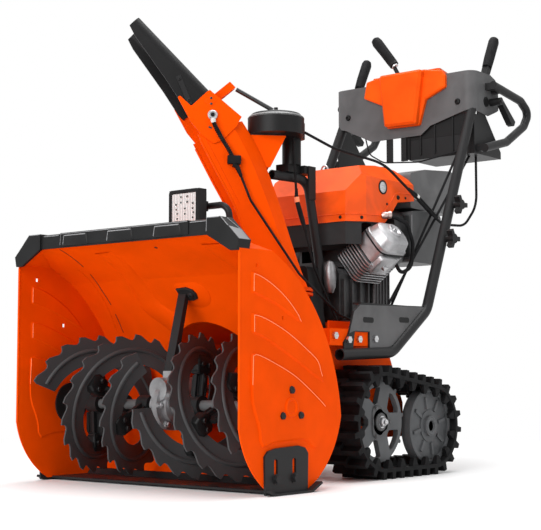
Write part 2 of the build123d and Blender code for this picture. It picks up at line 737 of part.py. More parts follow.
def hood_solid(inset):
    """Faceted hood volume moved in by a distance."""
    plan = Plane.XY.offset(600) * offset(outline(HOOD_PLAN), amount=-inset, kind=Kind.INTERSECTION)
    front = Plane.XZ.offset(-600) * offset(outline(HOOD_FRONT), amount=-inset, kind=Kind.INTERSECTION)
    flank = Plane.YZ.offset(-300) * offset(outline(HOOD_SIDE), amount=-inset, kind=Kind.INTERSECTION)
    body = extrude(plan, amount=300, dir=(0, 0, 1)) & extrude(front, amount=500, dir=(0, 1, 0))
    return body & extrude(flank, amount=600, dir=(1, 0, 0))


def make_hood():
    """Faceted engine hood, open below."""
    body = hood_solid(0.0)
    hollow = hood_solid(3.0)
    space = [(679, 600), (679, 660), (820, 660), (846, 680), (882, 718), (959, 729), (959, 600)]
    plan = Plane.XY.offset(500) * offset(outline(HOOD_PLAN), amount=-3, kind=Kind.INTERSECTION)
    return body - hollow - (plate_x(space, -147, 147) & extrude(plan, amount=400))


def make_shroud():
    """Dark band under the hood."""
    plan = Plane.XY.offset(588) * offset(outline(HOOD_PLAN), amount=-3, kind=Kind.INTERSECTION)
    inner = Plane.XY.offset(580) * offset(outline(HOOD_PLAN), amount=-6, kind=Kind.INTERSECTION)
    body = extrude(plan, amount=68, dir=(0, 0, 1)) - extrude(inner, amount=80, dir=(0, 0, 1))
    body &= box(-200, 200, 600, 812, 500, 700)
    body += box(-144, 144, 796, 800, 588, 640)
    return body - along_cylinder(CYLINDER_ROOM)


def make_engine_rear():
    """Fan housing and supports between crankcase and tank."""
    body = box(-140, 140, 880, 935, 548, 700)
    body = fillet(body.edges().filter_by(Axis.Y), 40) - box(-96, 96, 888, 927, 540, 688)
    body += box(-120, 120, 800, 880, 545, 650) - box(-112, 112, 790, 872, 553, 642)
    body += box(-120, 36, 935, 1150, 696, 708)
    return body - along_cylinder(CYLINDER_ROOM)


def make_air_box():
    """Dark box beside the fan housing."""
    points = [(935, 556), (935, 694), (1060, 704), (1082, 690), (1088, 585), (1070, 556)]
    return plate_x(points, 40, 160, 10)


def make_tank():
    """Fuel tank behind the engine."""
    points = [(967, 708), (967, 804), (1040, 822), (1180, 834), (1196, 820), (1190, 708)]
    body = plate_x(points, -135, 135, 10)
    hollow = plate_x([(973, 714), (973, 797), (1040, 813), (1178, 825), (1188, 814), (1184, 714)], -129, 129)
    return body - hollow - rod_z(-60, 1100, 800, 860, 24)


def make_tank_cap():
    """Screw cap of the tank."""
    body = rod_z(-60, 1100, 812, 832, 23.6) + rod_z(-60, 1100, 833, 852, 32)
    body += rod_z(-60, 1100, 830, 834, 23.6)
    for index in range(12):
        body -= Pos(-60, 1100, 0) * Rot(0, 0, 30 * index) * rod_z(34, 0, 830, 860, 4)
    return body


# Chassis and tracks
def make_frame():
    """Sheet frame under the engine."""
    side = [(548, DECK_Z), (812, DECK_Z), (812, 300), (872, 180), (872, 92), (590, 92), (548, 262)]
    body = plate_x(side, FRAME_X - 4, FRAME_X) + plate_x(side, -FRAME_X, -FRAME_X + 4)
    body += box(-FRAME_X, FRAME_X, 640, 812, DECK_Z - 6, DECK_Z)
    for y, low in ((640, 100), (808, 290)):
        body += box(-FRAME_X, FRAME_X, y, y + 4, low, DECK_Z)
    for y, z in ((SPROCKET_Y, SPROCKET_Z), (WHEEL_Y, WHEEL_Z)):
        body += rod_x(FRAME_X - 16, FRAME_X, y, z, 24) + rod_x(-FRAME_X, -FRAME_X + 16, y, z, 24)
        body -= rod_x(-200, 200, y, z, AXLE_RADIUS + RUNNING_FIT)
    return body


def make_transmission():
    """Drive unit under the deck, open below."""
    body = box(-90, 90, 656, 804, 200, DECK_Z - 6)
    return fillet(body.edges().filter_by(Axis.X), 18) - box(-84, 84, 676, 784, 190, DECK_Z - 14)


def track_path(extra):
    """Outline of the track at a distance outside its inner face."""
    front = SPROCKET_Z - LUG_HEIGHT - BELT_THICK + extra
    rear = WHEEL_Z - LUG_HEIGHT - BELT_THICK + extra
    run = WHEEL_Y - SPROCKET_Y
    rise = SPROCKET_Z - WHEEL_Z
    length = hypot(run, rise)
    lean = asin((front - rear) / length)
    base = asin(rise / length)
    up = pi / 2 - lean - base
    down = -pi / 2 + lean - base
    def spot(y, z, radius, angle):
        return (y + radius * cos(angle), z + radius * sin(angle))
    return front, rear, up, down, spot


def track_face(extra):
    """Closed face inside the track at a distance."""
    front, rear, up, down, spot = track_path(extra)
    a = spot(SPROCKET_Y, SPROCKET_Z, front, up)
    b = spot(SPROCKET_Y, SPROCKET_Z, front, pi)
    c = spot(SPROCKET_Y, SPROCKET_Z, front, down)
    d = spot(WHEEL_Y, WHEEL_Z, rear, down)
    e = spot(WHEEL_Y, WHEEL_Z, rear, 0)
    f = spot(WHEEL_Y, WHEEL_Z, rear, up)
    return make_face([ThreePointArc(a, b, c), Line(c, d), ThreePointArc(d, e, f), Line(f, a)])


def track_spots(extra, count):
    """Evenly spaced places along the track with their outward angle."""
    front, rear, up, down, spot = track_path(extra)
    top_a, top_f = spot(SPROCKET_Y, SPROCKET_Z, front, up), spot(WHEEL_Y, WHEEL_Z, rear, up)
    low_c, low_d = spot(SPROCKET_Y, SPROCKET_Z, front, down), spot(WHEEL_Y, WHEEL_Z, rear, down)
    straight = hypot(top_f[0] - top_a[0], top_f[1] - top_a[1])
    front_arc = front * (2 * pi + down - up)
    rear_arc = rear * (up - down)
    total = 2 * straight + front_arc + rear_arc
    spots = []
    for index in range(count):
        d = (index + 0.5) * total / count
        if d < straight:
            k = d / straight
            spots.append((low_c[0] + (low_d[0] - low_c[0]) * k, low_c[1] + (low_d[1] - low_c[1]) * k, down))
        elif d < straight + rear_arc:
            angle = down + (d - straight) / rear
            spots.append((*spot(WHEEL_Y, WHEEL_Z, rear, angle), angle))
        elif d < 2 * straight + rear_arc:
            k = (d - straight - rear_arc) / straight
            spots.append((top_f[0] + (top_a[0] - top_f[0]) * k, top_f[1] + (top_a[1] - top_f[1]) * k, up))
        else:
            angle = up + (d - 2 * straight - rear_arc) / front
            spots.append((*spot(SPROCKET_Y, SPROCKET_Z, front, angle), angle))
    return spots


def make_track():
    """Left rubber track with outer bars and inner guide lugs."""
    x0, x1 = TRACK_INNER_X, TRACK_OUTER_X
    ring = track_face(BELT_THICK) - track_face(0)
    belt = extrude(Plane.YZ.offset(x0) * ring, amount=x1 - x0, dir=(1, 0, 0))
    middle = (x0 + x1) / 2
    pieces = []
    for y, z, angle in track_spots(BELT_THICK, LUG_COUNT):
        lug = plate_x([(-1.5, -8), (-1.5, 8), (LUG_HEIGHT, 6), (LUG_HEIGHT, -6)], x0, middle + 6)
        pieces.append(Pos(0, y, z) * Rot(degrees(angle), 0, 0) * lug)
    for y, z, angle in track_spots(BELT_THICK, 2 * LUG_COUNT)[1::2]:
        lug = plate_x([(-1.5, -8), (-1.5, 8), (LUG_HEIGHT, 6), (LUG_HEIGHT, -6)], middle - 6, x1)
        pieces.append(Pos(0, y, z) * Rot(degrees(angle), 0, 0) * lug)
    for y, z, angle in track_spots(0, 26):
        lug = plate_x([(1, -13), (1, 13), (-20, 4), (-20, -4)], x0 + 8, x1 - 50)
        pieces.append(Pos(0, y, z) * Rot(degrees(angle), 0, 0) * lug)
    return belt + pieces


def make_sprocket():
    """Left drive sprocket with five spokes, prongs and stub axle."""
    y, z = SPROCKET_Y, SPROCKET_Z
    ring = rod_x(252, 266, y, z, 98)
    gap = plate_x([(46, -7), (46, 7), (78, 31), (85, 20), (87, 0), (85, -20), (78, -31)], 250, 270, 4)
    for index in range(5):
        ring -= Pos(0, y, z) * Rot(72 * index + 36, 0, 0) * gap
    for index in range(10):
        prong = plate_x([(94, -9), (94, 9), (111.5, 3), (111.5, -3)], 252, 262)
        ring += Pos(0, y, z) * Rot(36 * index + 8, 0, 0) * prong
    ring += rod_x(246, 270, y, z, 32) + rod_x(FRAME_X - 16, 262, y, z, AXLE_RADIUS)
    ring += rod_x(FRAME_X + 1, FRAME_X + 6, y, z, 20)
    return ring + hex_x(270, 278, y, z, 13) + rod_x(270, 272, y, z, 18)


def make_wheel():
    """Left rear wheel with radial ribs and stub axle."""
    y, z = WHEEL_Y, WHEEL_Z
    body = rod_x(246, 272, y, z, 95.6) - rod_x(266, 275, y, z, 86)
    body += rod_x(266, 269, y, z, 40)
    for index in range(8):
        body += Pos(0, y, z) * Rot(45 * index + 12, 0, 0) * box(266, 271, 44, 74, -4, 4)
    body += rod_x(240, 276, y, z, 26) - rod_x(272, 280, y, z, 14)
    body += rod_x(FRAME_X - 16, 262, y, z, AXLE_RADIUS) + rod_x(FRAME_X + 1, FRAME_X + 6, y, z, 20)
    return body


# Handles
TUBE_X = 246.0
TUBE_TOP = (221.8, 1164.6, 1030.0)
TUBE_BEND = (TUBE_X, 868.0, 420.0)
TUBE_POINTS = [(TUBE_X, 484, 300), (TUBE_X, 704, 308), TUBE_BEND, TUBE_TOP]
GUSSET_THICK = 4.0


def tube_at(z):
    """Centre of the left handle tube at a height on its long run."""
    k = (z - TUBE_BEND[2]) / (TUBE_TOP[2] - TUBE_BEND[2])
    return TUBE_BEND[0] + k * (TUBE_TOP[0] - TUBE_BEND[0]), TUBE_BEND[1] + k * (TUBE_TOP[1] - TUBE_BEND[1])


def make_handle_tube():
    """Left bent handle tube."""
    return tube(TUBE_POINTS, 70, HANDLE_TUBE, HANDLE_WALL)


def make_gusset():
    """Left gusset plate in the corner of the handle tube."""
    x0 = TUBE_X - GUSSET_THICK / 2
    x1 = TUBE_X + GUSSET_THICK / 2
    points = [(566, 424), (880, 430), (868, 420), (704, 308), (500, 302), (500, 330), (518, 348), (541, 406)]
    plate = plate_x(points, x0, x1)
    plate -= plate_x([(532, 290), (604, 290), (604, 356), (545, 356)], x0 - 1, x1 + 1)
    plate += box(TUBE_X - 22, x1, 570, 852, 424, 428)
    return plate - make_handle_core()


def make_handle_bracket():
    """Left bracket from the frame to the gusset plate."""
    x1 = TUBE_X - GUSSET_THICK / 2
    return box(FRAME_X, x1, 448, 652, 322, 362) - box(FRAME_X - 1, x1 - 4, 452, 648, 310, 358)


def make_gusset_bolts():
    """Bolts through both gusset plates."""
    solids = []
    x0 = TUBE_X - GUSSET_THICK / 2
    x1 = TUBE_X + GUSSET_THICK / 2
    for x, y, z in ((x0, 466, 345), (x1, 516, 336), (x0, 564, 338), (x1, 627, 340)):
        bolt = hex_x(x, x + 7, y, z, 9)
        solids += [*bolt.solids(), *flip(bolt).solids()]
    return Compound(children=solids)


def make_cross_tube():
    """Tube between the two handle tubes."""
    z = 995.0
    x, y = tube_at(z)
    return rod_x(2 - x, x - 2, y, z, 12) - make_handle_core() - flip(make_handle_core())


def make_handle_core():
    """Solid space of the left handle tube."""
    return tube(TUBE_POINTS, 70, HANDLE_TUBE)


def make_knob(z):
    """Left star knob with its bolt."""
    x, y = tube_at(z)
    x += HANDLE_TUBE
    body = rod_x(x + 0.6, x + 10, y, z, 9) + rod_x(x + 10, x + 26, y, z, 13)
    for index in range(3):
        body += Pos(0, y, z) * Rot(120 * index, 0, 0) * box(x + 10, x + 26, 6, 26, -6, 6)
    return body


def make_dash():
    """Folded dash panel with side wings and top."""
    lower = [(-240, 1108), (240, 1108), (240, 1000), (196, 990), (98, 964), (66, 940), (-106, 940),
             (-200, 984), (-240, 994)]
    wing = [(1150, 1108), (1228, 1108), (1257, 1098), (1272, 1074), (1272, 1012), (1262, 1006), (1214, 987),
            (1150, 993)]
    plan = outline([(-240, DASH_Y), (240, DASH_Y), (240, 1320), (-240, 1320)], DASH_FOLD)
    ring = plan - offset(plan, amount=-SHEET)
    shape = plate_y(lower, DASH_Y, DASH_Y + 36) + plate_x(wing, -240, 240)
    body = extrude(Plane.XY.offset(900) * ring, amount=300, dir=(0, 0, 1)) & shape
    top = extrude(Plane.XY.offset(1105) * plan, amount=SHEET, dir=(0, 0, 1))
    body += top & box(-240, 240, DASH_Y, 1232, 1100, 1110)
    for side in (1, -1):
        x = side * LEVER_X
        body -= box(x - 14, x + 14, 1160, 1232.5, 1090, 1120)
        body -= rod_x(side * 230, side * 250, 1202, 1026, 9)
        body -= rod_y(side * 190, DASH_Y - 5, DASH_Y + 10, 1022, 6)
    body -= box(SPEED_X - 40, SPEED_X + 26, 1136, 1200, 1090, 1120)
    return body - make_handle_core() - flip(make_handle_core())


def make_dash_cover():
    """Moulded centre cover of the dash."""
    wide = [(-125, 1070), (-115, 1118), (-55, 1128), (85, 1128), (145, 1118), (155, 1100), (155, 1068),
            (89, 1040), (67, 968), (-43, 970), (-59, 1040)]
    core = [(-59, 1126), (89, 1126), (67, 970), (-41, 972)]
    rear = plate_y(wide, DASH_Y - 14, DASH_Y, 6)
    front = plate_y(core, DASH_Y - 34, DASH_Y - 10, 8)
    body = None
    for layer, bevel in ((rear, 4.0), (front, 7.0)):
        layer = chamfer(layer.faces().sort_by(Axis.Y)[0].edges(), bevel)
        body = layer if body is None else body + layer
    body += plate_z([(-103, DASH_Y - 1), (133, DASH_Y - 1), (111, 1214), (-81, 1214)], 1108, 1128, 8)
    return body - box(SPEED_X - 38, SPEED_X + 24, 1138, 1198, 1100, 1140)


POST_X = (-46, 5)


def make_tray():
    """Tray on the left under the dash, side plates and hanging posts."""
    body = box(20, 236, 1140, 1285, TRAY_Z, TRAY_Z + 4) + box(20, 236, 1140, 1144, TRAY_Z, 940)
    body += box(-236, -164, 1140, 1206, TRAY_Z, TRAY_Z + 4)
    for side in (1, -1):
        x0, x1 = sorted((side * 233, side * 237))
        cheek = [(1140, TRAY_Z), (1288, TRAY_Z), (1288, 892), (1190, 1002), (1160, 1002), (1160, 984),
                 (1140, 984)]
        body += plate_x(cheek, x0, x1) + box(x0, x1, 1160, 1176, 990, 1024)
        x0, x1 = sorted((side * 212, side * 237))
        body += box(x0, x1, 1160, 1176, 1009, 1024)
    for x in POST_X:
        body += box(x - 9, x + 9, 1133, 1142, TRAY_Z, 960)
    body = body - make_handle_core() - flip(make_handle_core())
    return body - make_control_rods() - make_dash()


def make_loop():
    """Left handle loop."""
    points = [(LOOP_X, 1196, 1070.2), (LOOP_X, 1356, 1050), (LOOP_X, 1404, 1020), (LOOP_X, 1372, 976),
              (LOOP_X, 1268, 916), (LOOP_X, 1146, 884)]
    return tube(points, 22, 12.0)


def make_loop_feet():
    """Clips that hold the loops to the dash wings and the tray."""
    solids = []
    for y, z in ((1207, 1068.8), (1240, 1064.6), (1160, 888)):
        clip = box(240 if z > 950 else 237, LOOP_X, y - 9, y + 9, z - 10, z + 10)
        clip -= tube([(LOOP_X, 1150, 1076), (LOOP_X, 1356, 1050)], 1, 12.0)
        clip -= tube([(LOOP_X, 1268, 916), (LOOP_X, 1146, 884)], 1, 12.0)
        solids += [*clip.solids(), *flip(clip).solids()]
    return Compound(children=solids)


def make_lever():
    """Left engagement lever with its hub."""
    y, z = LEVER_PIVOT_Y, LEVER_PIVOT_Z
    points = [(y - 8, z), (y + 8, z - 2), (y + 84, z + 140), (y + 78, z + 152), (y + 62, z + 148)]
    bar = plate_x(points, LEVER_X - 10, LEVER_X + 10, 3)
    hub = rod_x(LEVER_X - 10, LEVER_X + 10, y, z, 14)
    return bar + hub - rod_x(LEVER_X - 20, LEVER_X + 20, y, z, 5 + RUNNING_FIT)


def make_lever_pins():
    """Pins of the engagement levers and the speed lever."""
    solids = []
    for side in (1, -1):
        x0, x1 = sorted((side * (LEVER_X - 30), side * 237))
        pin = rod_x(x0, x1, LEVER_PIVOT_Y, LEVER_PIVOT_Z, 5)
        x0, x1 = sorted((side * (LEVER_X - 30), side * (LEVER_X - 26)))
        pin += box(x0, x1, LEVER_PIVOT_Y - 12, LEVER_PIVOT_Y + 12, LEVER_PIVOT_Z - 12, 1105)
        solids += pin.solids()
    speed = rod_x(SPEED_X - 20, SPEED_X + 20, SPEED_Y, SPEED_Z, 5)
    for x in (SPEED_X - 20, SPEED_X + 16):
        speed += box(x, x + 4, SPEED_Y - 28, SPEED_Y + 10, SPEED_Z - 12, SPEED_Z + 12)
    speed += box(SPEED_X - 20, SPEED_X + 20, DASH_Y + 3, SPEED_Y - 24, SPEED_Z - 12, SPEED_Z + 12)
    solids += speed.solids()
    return Compound(children=solids)


def make_speed_lever():
    """Speed lever with a round grip."""
    hub = rod_x(SPEED_X - 14, SPEED_X + 14, SPEED_Y, SPEED_Z, 14)
    stem = tube([(SPEED_X, SPEED_Y, SPEED_Z), (SPEED_X - 4, SPEED_Y, 1112), (-62, SPEED_Y - 4, 1192)], 20, 6)
    grip = tube([(-46, SPEED_Y - 2, 1168), (-106, SPEED_Y - 6, 1247)], 1, 14)
    tip = Pos(-106, SPEED_Y - 6, 1247) * Sphere(14)
    return hub + stem + grip + tip - rod_x(SPEED_X - 30, SPEED_X + 30, SPEED_Y, SPEED_Z, 5 + RUNNING_FIT)


def make_trigger():
    """Left steering trigger with its hub."""
    y, z = TRIGGER_Y, TRIGGER_Z
    points = [(y - 4, z + 8), (y + 8, z + 12), (y + 82, z - 44), (y + 74, z - 58), (y + 60, z - 54)]
    bar = plate_x(points, LOOP_X - 9, LOOP_X + 9, 3)
    hub = rod_x(240.6, LOOP_X + 9, y + 2, z + 4, 11)
    return bar + hub - rod_x(200, 300, y + 2, z + 4, 4 + RUNNING_FIT)


def make_trigger_pins():
    """Pins of the steering triggers."""
    solids = []
    for side in (1, -1):
        x0, x1 = sorted((side * 240, side * (LOOP_X + 12)))
        pin = rod_x(x0, x1, TRIGGER_Y + 2, TRIGGER_Z + 4, 4)
        solids += pin.solids()
    return Compound(children=solids)


# Cables held along their route
def make_rotation_cable():
    """Cable from the turning head to the dash."""
    points = [(96.5, 544.8, 860), (128, 620, 828), (162, 800, 806), (190, 1040, 664), (204, 1135, 668),
              (208, 1196, 730), (208, 1196, TRAY_Z)]
    return tube(points, [80, 180, 90, 60, 80], 3.5)


def make_dash_cable():
    """Thin cable that hangs below the dash."""
    points = [(-128, 1131.5, 952), (-112, 1127, 902), (-60, 1126, 872), (60, 1126, 862), (170, 1132, 878),
              (190, 1139.9, 884)]
    return tube(points, [40, 60, 80, 20], 2.0) - make_tray() - make_dash()


def make_plug_lead():
    """Insulated lead round the valve cover."""
    points = [(150, 826, 668), (172, 826, 668), (190, 866, 652), (192, 890, 600), (190, 884, 536),
              (182, 846, 518), (174.3, 824, 551.5)]
    return tube(points, [12, 24, 40, 30, 16], 5.0) - make_head() - make_cylinder() - make_valve_cover()


def make_head_cable():
    """Cable from the head down beside the post."""
    points = [(69, 532, 849), (71, 538, 757), (59, 558, 695), (66, 577, 634), (73, 614, 523), (110, 660, 390)]
    return tube(points, 60, 3.0)


def make_chute_tail():
    """Deflector cable from the foot of the chute to the frame."""
    points = [(134.2, 472.8, 497), (164, 516, 446), (160, 600, 402), (160, 660, 388)]
    return tube(points, 60, 3.0) - place_chute(make_deflector_cable())


def make_control_rods():
    """Rods from the tray down to the frame deck."""
    solids = []
    for side in (1, -1):
        for x, y0, y1 in ((176, 1150, 796), (196, 1185, 772)):
            rod = tube([(side * x, y0, TRAY_Z + 6), (side * 160, y1, DECK_Z + 2)], 1, 3.5)
            solids += rod.solids()
    return Compound(children=solids)


# Assembly of every piece
def main():
    """Build and write every piece."""
    os.makedirs("parts", exist_ok=True)
    save("housing_shell", make_housing())
    save("side_plates", both(make_side_plate()))
    save("top_rail", make_rail())
    save("wear_bars", group(make_scraper(), both(make_shoe())))
    save("bolts", make_gusset_bolts())
    save("auger_bearings", group(both(make_bearing()), make_bearing_bolts(), make_shoe_bolts()))
    save("gear_case", make_gear_case())
    save("gear_brace", make_brace())
    save("auger_shaft", make_auger_shaft())
    save("flights_left", group(make_flight(1, LEFT_PHASE), make_flight(1, LEFT_PHASE + 180)))
    save("flights_right", group(make_flight(-1, RIGHT_PHASE), make_flight(-1, RIGHT_PHASE + 180)))
    save("auger_arms", group(make_arms(1, LEFT_PHASE), make_arms(-1, RIGHT_PHASE)))
    save("impeller_drum", make_drum() + make_impeller_bearing())
    save("impeller", make_impeller())
    save("impeller_shaft", make_impeller_shaft() + make_impeller_pulley())
    save("engine_pulley", make_engine_pulley())
    save("drive_belt", make_belt())
    save("belt_cover", make_belt_cover())
    save("chute", place_chute(make_chute()))
    save("deflector_cheeks", place_chute(make_deflector_cheeks()))
    save("deflector", place_chute(make_deflector()))
    save("deflector_bolts", place_chute(make_deflector_bolts()))
    save("deflector_spring", place_chute(make_deflector_spring()))
    save("deflector_cable", place_chute(group(make_deflector_cable(), make_cable_clamp())))
    save("turning_head", make_head_cap() + make_head_drum())
    save("support_tubes", group(make_post(), make_lamp_bracket()))
    save("lamp", make_lamp())
    save("lamp_lens", make_lamp_lens())
    save("crankcase", group(make_crankcase(), make_engine_rear()))
    save("cylinder", make_cylinder() + make_head())
    save("valve_cover", make_valve_cover())
    save("hood", make_hood())
    save("engine_shroud", make_shroud())
    save("air_box", make_air_box())
    save("fuel_tank", make_tank())
    save("fuel_cap", make_tank_cap())
    save("frame", group(make_frame(), both(make_handle_bracket()), make_transmission()))
    for name, make in (("track", make_track), ("sprocket", make_sprocket), ("rear_wheel", make_wheel),
                       ("engage_lever", make_lever), ("trigger", make_trigger)):
        piece = make()
        save(f"{name}_left", piece)
        save(f"{name}_right", flip(piece))
    for index, z in enumerate(KNOB_HEIGHTS):
        knob = make_knob(z)
        save(f"knob_left_{index + 1}", knob)
        save(f"knob_right_{index + 1}", flip(knob))
    save("handle_tubes", group(both(make_handle_tube()), both(make_gusset()), make_cross_tube()))
    save("handle_loops", group(both(make_loop()), make_loop_feet()))
    save("dash_panel", make_dash())
    save("dash_cover", make_dash_cover())
    save("dash_tray", make_tray())
    save("control_pins", group(make_lever_pins(), make_trigger_pins()))
    save("speed_lever", make_speed_lever())
    save("chute_tail_cable", make_chute_tail())
    held = (make_rotation_cable, make_head_cable, make_control_rods, make_dash_cable, make_plug_lead)
    save("cables", group(*(make() for make in held)))


if __name__ == "__main__":
    main()
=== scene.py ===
"""Looks of a tracked snow blower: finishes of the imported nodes, small fittings, floor, light and camera."""

import json
from math import acos, atan2, cos, pi, radians, sin

import bmesh
import bpy
from bpy.props import FloatProperty, FloatVectorProperty, IntProperty, PointerProperty
from mathutils import Matrix, Vector
from mathutils.bvhtree import BVHTree


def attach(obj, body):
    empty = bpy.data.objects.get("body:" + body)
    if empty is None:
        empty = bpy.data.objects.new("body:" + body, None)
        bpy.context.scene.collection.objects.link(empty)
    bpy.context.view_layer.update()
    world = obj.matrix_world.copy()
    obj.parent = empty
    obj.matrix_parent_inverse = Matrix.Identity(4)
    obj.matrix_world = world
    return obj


bl_info = {
    "name": "Tracked snow blower",
    "version": (1, 0, 0),
    "blender": (4, 5, 0),
    "location": "3D View > Sidebar > Snow Blower",
    "description": "Finishes and fittings of a tracked snow blower",
    "category": "Object",
}

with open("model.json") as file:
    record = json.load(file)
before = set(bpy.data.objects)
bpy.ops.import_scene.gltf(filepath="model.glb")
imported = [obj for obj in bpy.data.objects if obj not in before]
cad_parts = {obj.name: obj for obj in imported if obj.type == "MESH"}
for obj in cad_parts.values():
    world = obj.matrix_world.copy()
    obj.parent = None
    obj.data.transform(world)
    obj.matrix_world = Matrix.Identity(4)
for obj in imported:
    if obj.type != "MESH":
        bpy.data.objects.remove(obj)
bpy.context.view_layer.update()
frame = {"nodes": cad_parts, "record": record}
NODES = frame["nodes"]

# Layout of the machine in millimetres, with lengths along Y from the front edge of the intake
MIDDLE_Y = 699.1
HALF_WIDTH = 347.0
SHEET = 3.0
AUGER = (0.0, 167.0, 183.0)
CHUTE_AXIS = (45.0, 493.0)
CHUTE_TURN = radians(-43.0)
CHUTE_SIDE = 70.0
ROOT = "machine"
SIDES = (1, -1)
LEFT = Vector((1.0, 0.0, 0.0))
FRONT = Vector((0.0, -1.0, 0.0))
UP = Vector((0.0, 0.0, 1.0))
CHUTE_FRAME = Matrix.Rotation(CHUTE_TURN, 3, "Z")
CHUTE_OUT = CHUTE_FRAME @ LEFT


def at(x, y, z):
    """Point of the layout in the row frame."""
    return Vector((x, y - MIDDLE_Y, z)) / 1000.0


def on_chute(x, s, z):
    """Point of the chute at rest: x across, s forward, z up."""
    spot = CHUTE_FRAME @ Vector((x, -s, 0.0))
    return at(spot.x + CHUTE_AXIS[0], spot.y + CHUTE_AXIS[1], z)


def points_at(places, side=1):
    """Points of the layout in the row frame, as given or mirrored to the other side."""
    return [at(side * x, y, z) for x, y, z in places]


# Settings
def colour_setting(name, description, default):
    """Setting for a colour."""
    return FloatVectorProperty(
        name=name, description=description, subtype="COLOR", size=3, min=0.0, max=1.0, default=default)


def length_setting(name, description, low, high, default):
    """Setting for a length in metres."""
    return FloatProperty(
        name=name, description=description, unit="LENGTH", min=low, max=high, default=default)


def power_setting(name, description, default):
    """Setting for the power of a lamp."""
    return FloatProperty(
        name=name, description=description, unit="POWER", min=0.0, max=2000.0, default=default)


class SnowColours(bpy.types.PropertyGroup):
    """Colours of the finishes."""

    orange: colour_setting("Orange paint", "Powder coat of the sheet parts", (0.79, 0.068, 0.0006))
    orange_cover: colour_setting("Orange covers", "Moulded hood and dash cover", (0.82, 0.085, 0.004))
    # Painted highlight: a lighter orange for thin lines along the crests of the pressed panels, where light
    # catches their edges
    orange_edge: colour_setting("Orange edges", "Worn edges of the pressed panels", (0.95, 0.25, 0.10))
    black: colour_setting("Black plastic", "Moulded black parts", (0.009, 0.009, 0.0093))
    black_paint: colour_setting("Black paint", "Augers, tubes and straps", (0.016, 0.016, 0.0166))
    dash: colour_setting("Dash grey", "Powder coat of the dash", (0.086, 0.086, 0.088))
    grey: colour_setting("Grey plastic", "Air box, auger shaft and engine band", (0.085, 0.086, 0.088))
    tank: colour_setting("Tank grey", "Fuel tank", (0.14, 0.14, 0.142))
    # Painted reflection: a grey lighter than the black paint, for the light reflected from the gusset plates
    gusset: colour_setting("Gusset grey", "Plates at the foot of the handles", (0.105, 0.105, 0.107))
    # Painted highlight: a lighter grey for thin lines and facets on black and grey plastic, where light
    # catches the edges
    edge: colour_setting("Edge grey", "Worn edges of black and grey plastic", (0.20, 0.20, 0.205))
    # Painted sheen: a grey much lighter than the black plastic, for the top of the turning head where it
    # catches the light
    cap: colour_setting("Cap grey", "Dome of the turning head", (0.17, 0.17, 0.17))
    wheel: colour_setting("Wheel grey", "Track wheels", (0.085, 0.088, 0.092))
    rubber: colour_setting("Rubber", "Tracks, cables and boots", (0.008, 0.008, 0.0085))
    alloy: colour_setting("Cast alloy", "Engine and gear castings", (0.44, 0.44, 0.45))
    steel: colour_setting("Plated steel", "Bolts, shafts and springs", (0.60, 0.60, 0.61))
    plug: colour_setting("Rosy steel", "Cap of the plug lead", (0.62, 0.46, 0.42))
    pale: colour_setting("Pale plastic", "Ferrules and lamp reflectors", (0.62, 0.62, 0.60))
    coral: colour_setting("Coral plastic", "Ferrule under the turning head", (0.82, 0.24, 0.11))


class SnowSizes(bpy.types.PropertyGroup):
    """Sizes of the fittings."""

    bead: length_setting("Auger bead", "Half width of the bead along the flights", 0.001, 0.01, 0.0062)
    band: length_setting("Pressed band", "Height of the bands in the intake", 0.0005, 0.006, 0.003)
    panel: length_setting("Pressed panel", "Height of the panels on the side plates", 0.0005, 0.008, 0.0044)
    disc: length_setting("Hood disc", "Radius of the plain disc on the hood", 0.005, 0.04, 0.019)
    boot_rings: IntProperty(
        name="Boot rings", description="Rings of the rubber boot on the chute cable", subtype="UNSIGNED",
        min=6, max=40, default=20)


class SnowStage(bpy.types.PropertyGroup):
    """Light, floor and camera."""

    floor: colour_setting("Floor", "Colour of the floor", (0.93, 0.93, 0.93))
    fill: FloatProperty(
        name="Fill light", description="Strength of the light from all around", subtype="UNSIGNED",
        min=0.0, max=2.0, default=0.55)
    key: power_setting("Key light", "Power of the large front lamp", 190.0)
    side: power_setting("Side light", "Power of the lamp beside the machine", 18.0)
    top: power_setting("Top light", "Power of the lamp above", 150.0)
    lens: FloatProperty(
        name="Lens", description="Focal length of the camera in millimetres", unit="CAMERA",
        min=10.0, max=300.0, default=87.64)


def colours():
    """Colour settings of the scene."""
    return bpy.context.scene.snow_colours


def sizes():
    """Size settings of the scene."""
    return bpy.context.scene.snow_sizes


# Finishes
FINISHES = {}
TONE_STOPS = (0.35, 0.65)


def add(tree, kind, **values):
    """New shader node with its inputs and settings."""
    node = tree.nodes.new(kind)
    for key, value in values.items():
        name = key.replace("_", " ")
        if name in node.inputs:
            node.inputs[name].default_value = value
        else:
            setattr(node, key, value)
    return node


def start_finish(name, metal=0.0, shine=0.25):
    """New material; gives back its tree, shader and object coordinates."""
    material = bpy.data.materials.new(name)
    material.use_nodes = True
    tree = material.node_tree
    shader = tree.nodes["Principled BSDF"]
    shader.inputs["Metallic"].default_value = metal
    shader.inputs["Specular IOR Level"].default_value = shine
    place = add(tree, "ShaderNodeTexCoord")
    FINISHES[name] = material
    return tree, shader, place.outputs["Object"]


def two_tones(tree, source, tones, stops=TONE_STOPS):
    """Colour ramp between two colours."""
    ramp = add(tree, "ShaderNodeValToRGB")
    for element, tone, stop in zip(ramp.color_ramp.elements, tones, stops):
        element.position = stop
        element.color = (*tone, 1.0)
    tree.links.new(source, ramp.inputs["Fac"])
    return ramp.outputs["Color"]


def gloss_range(tree, source, shader, low, high):
    """Roughness that follows a pattern."""
    span = add(tree, "ShaderNodeMapRange", To_Min=low, To_Max=high)
    tree.links.new(source, span.inputs["Value"])
    tree.links.new(span.outputs["Result"], shader.inputs["Roughness"])


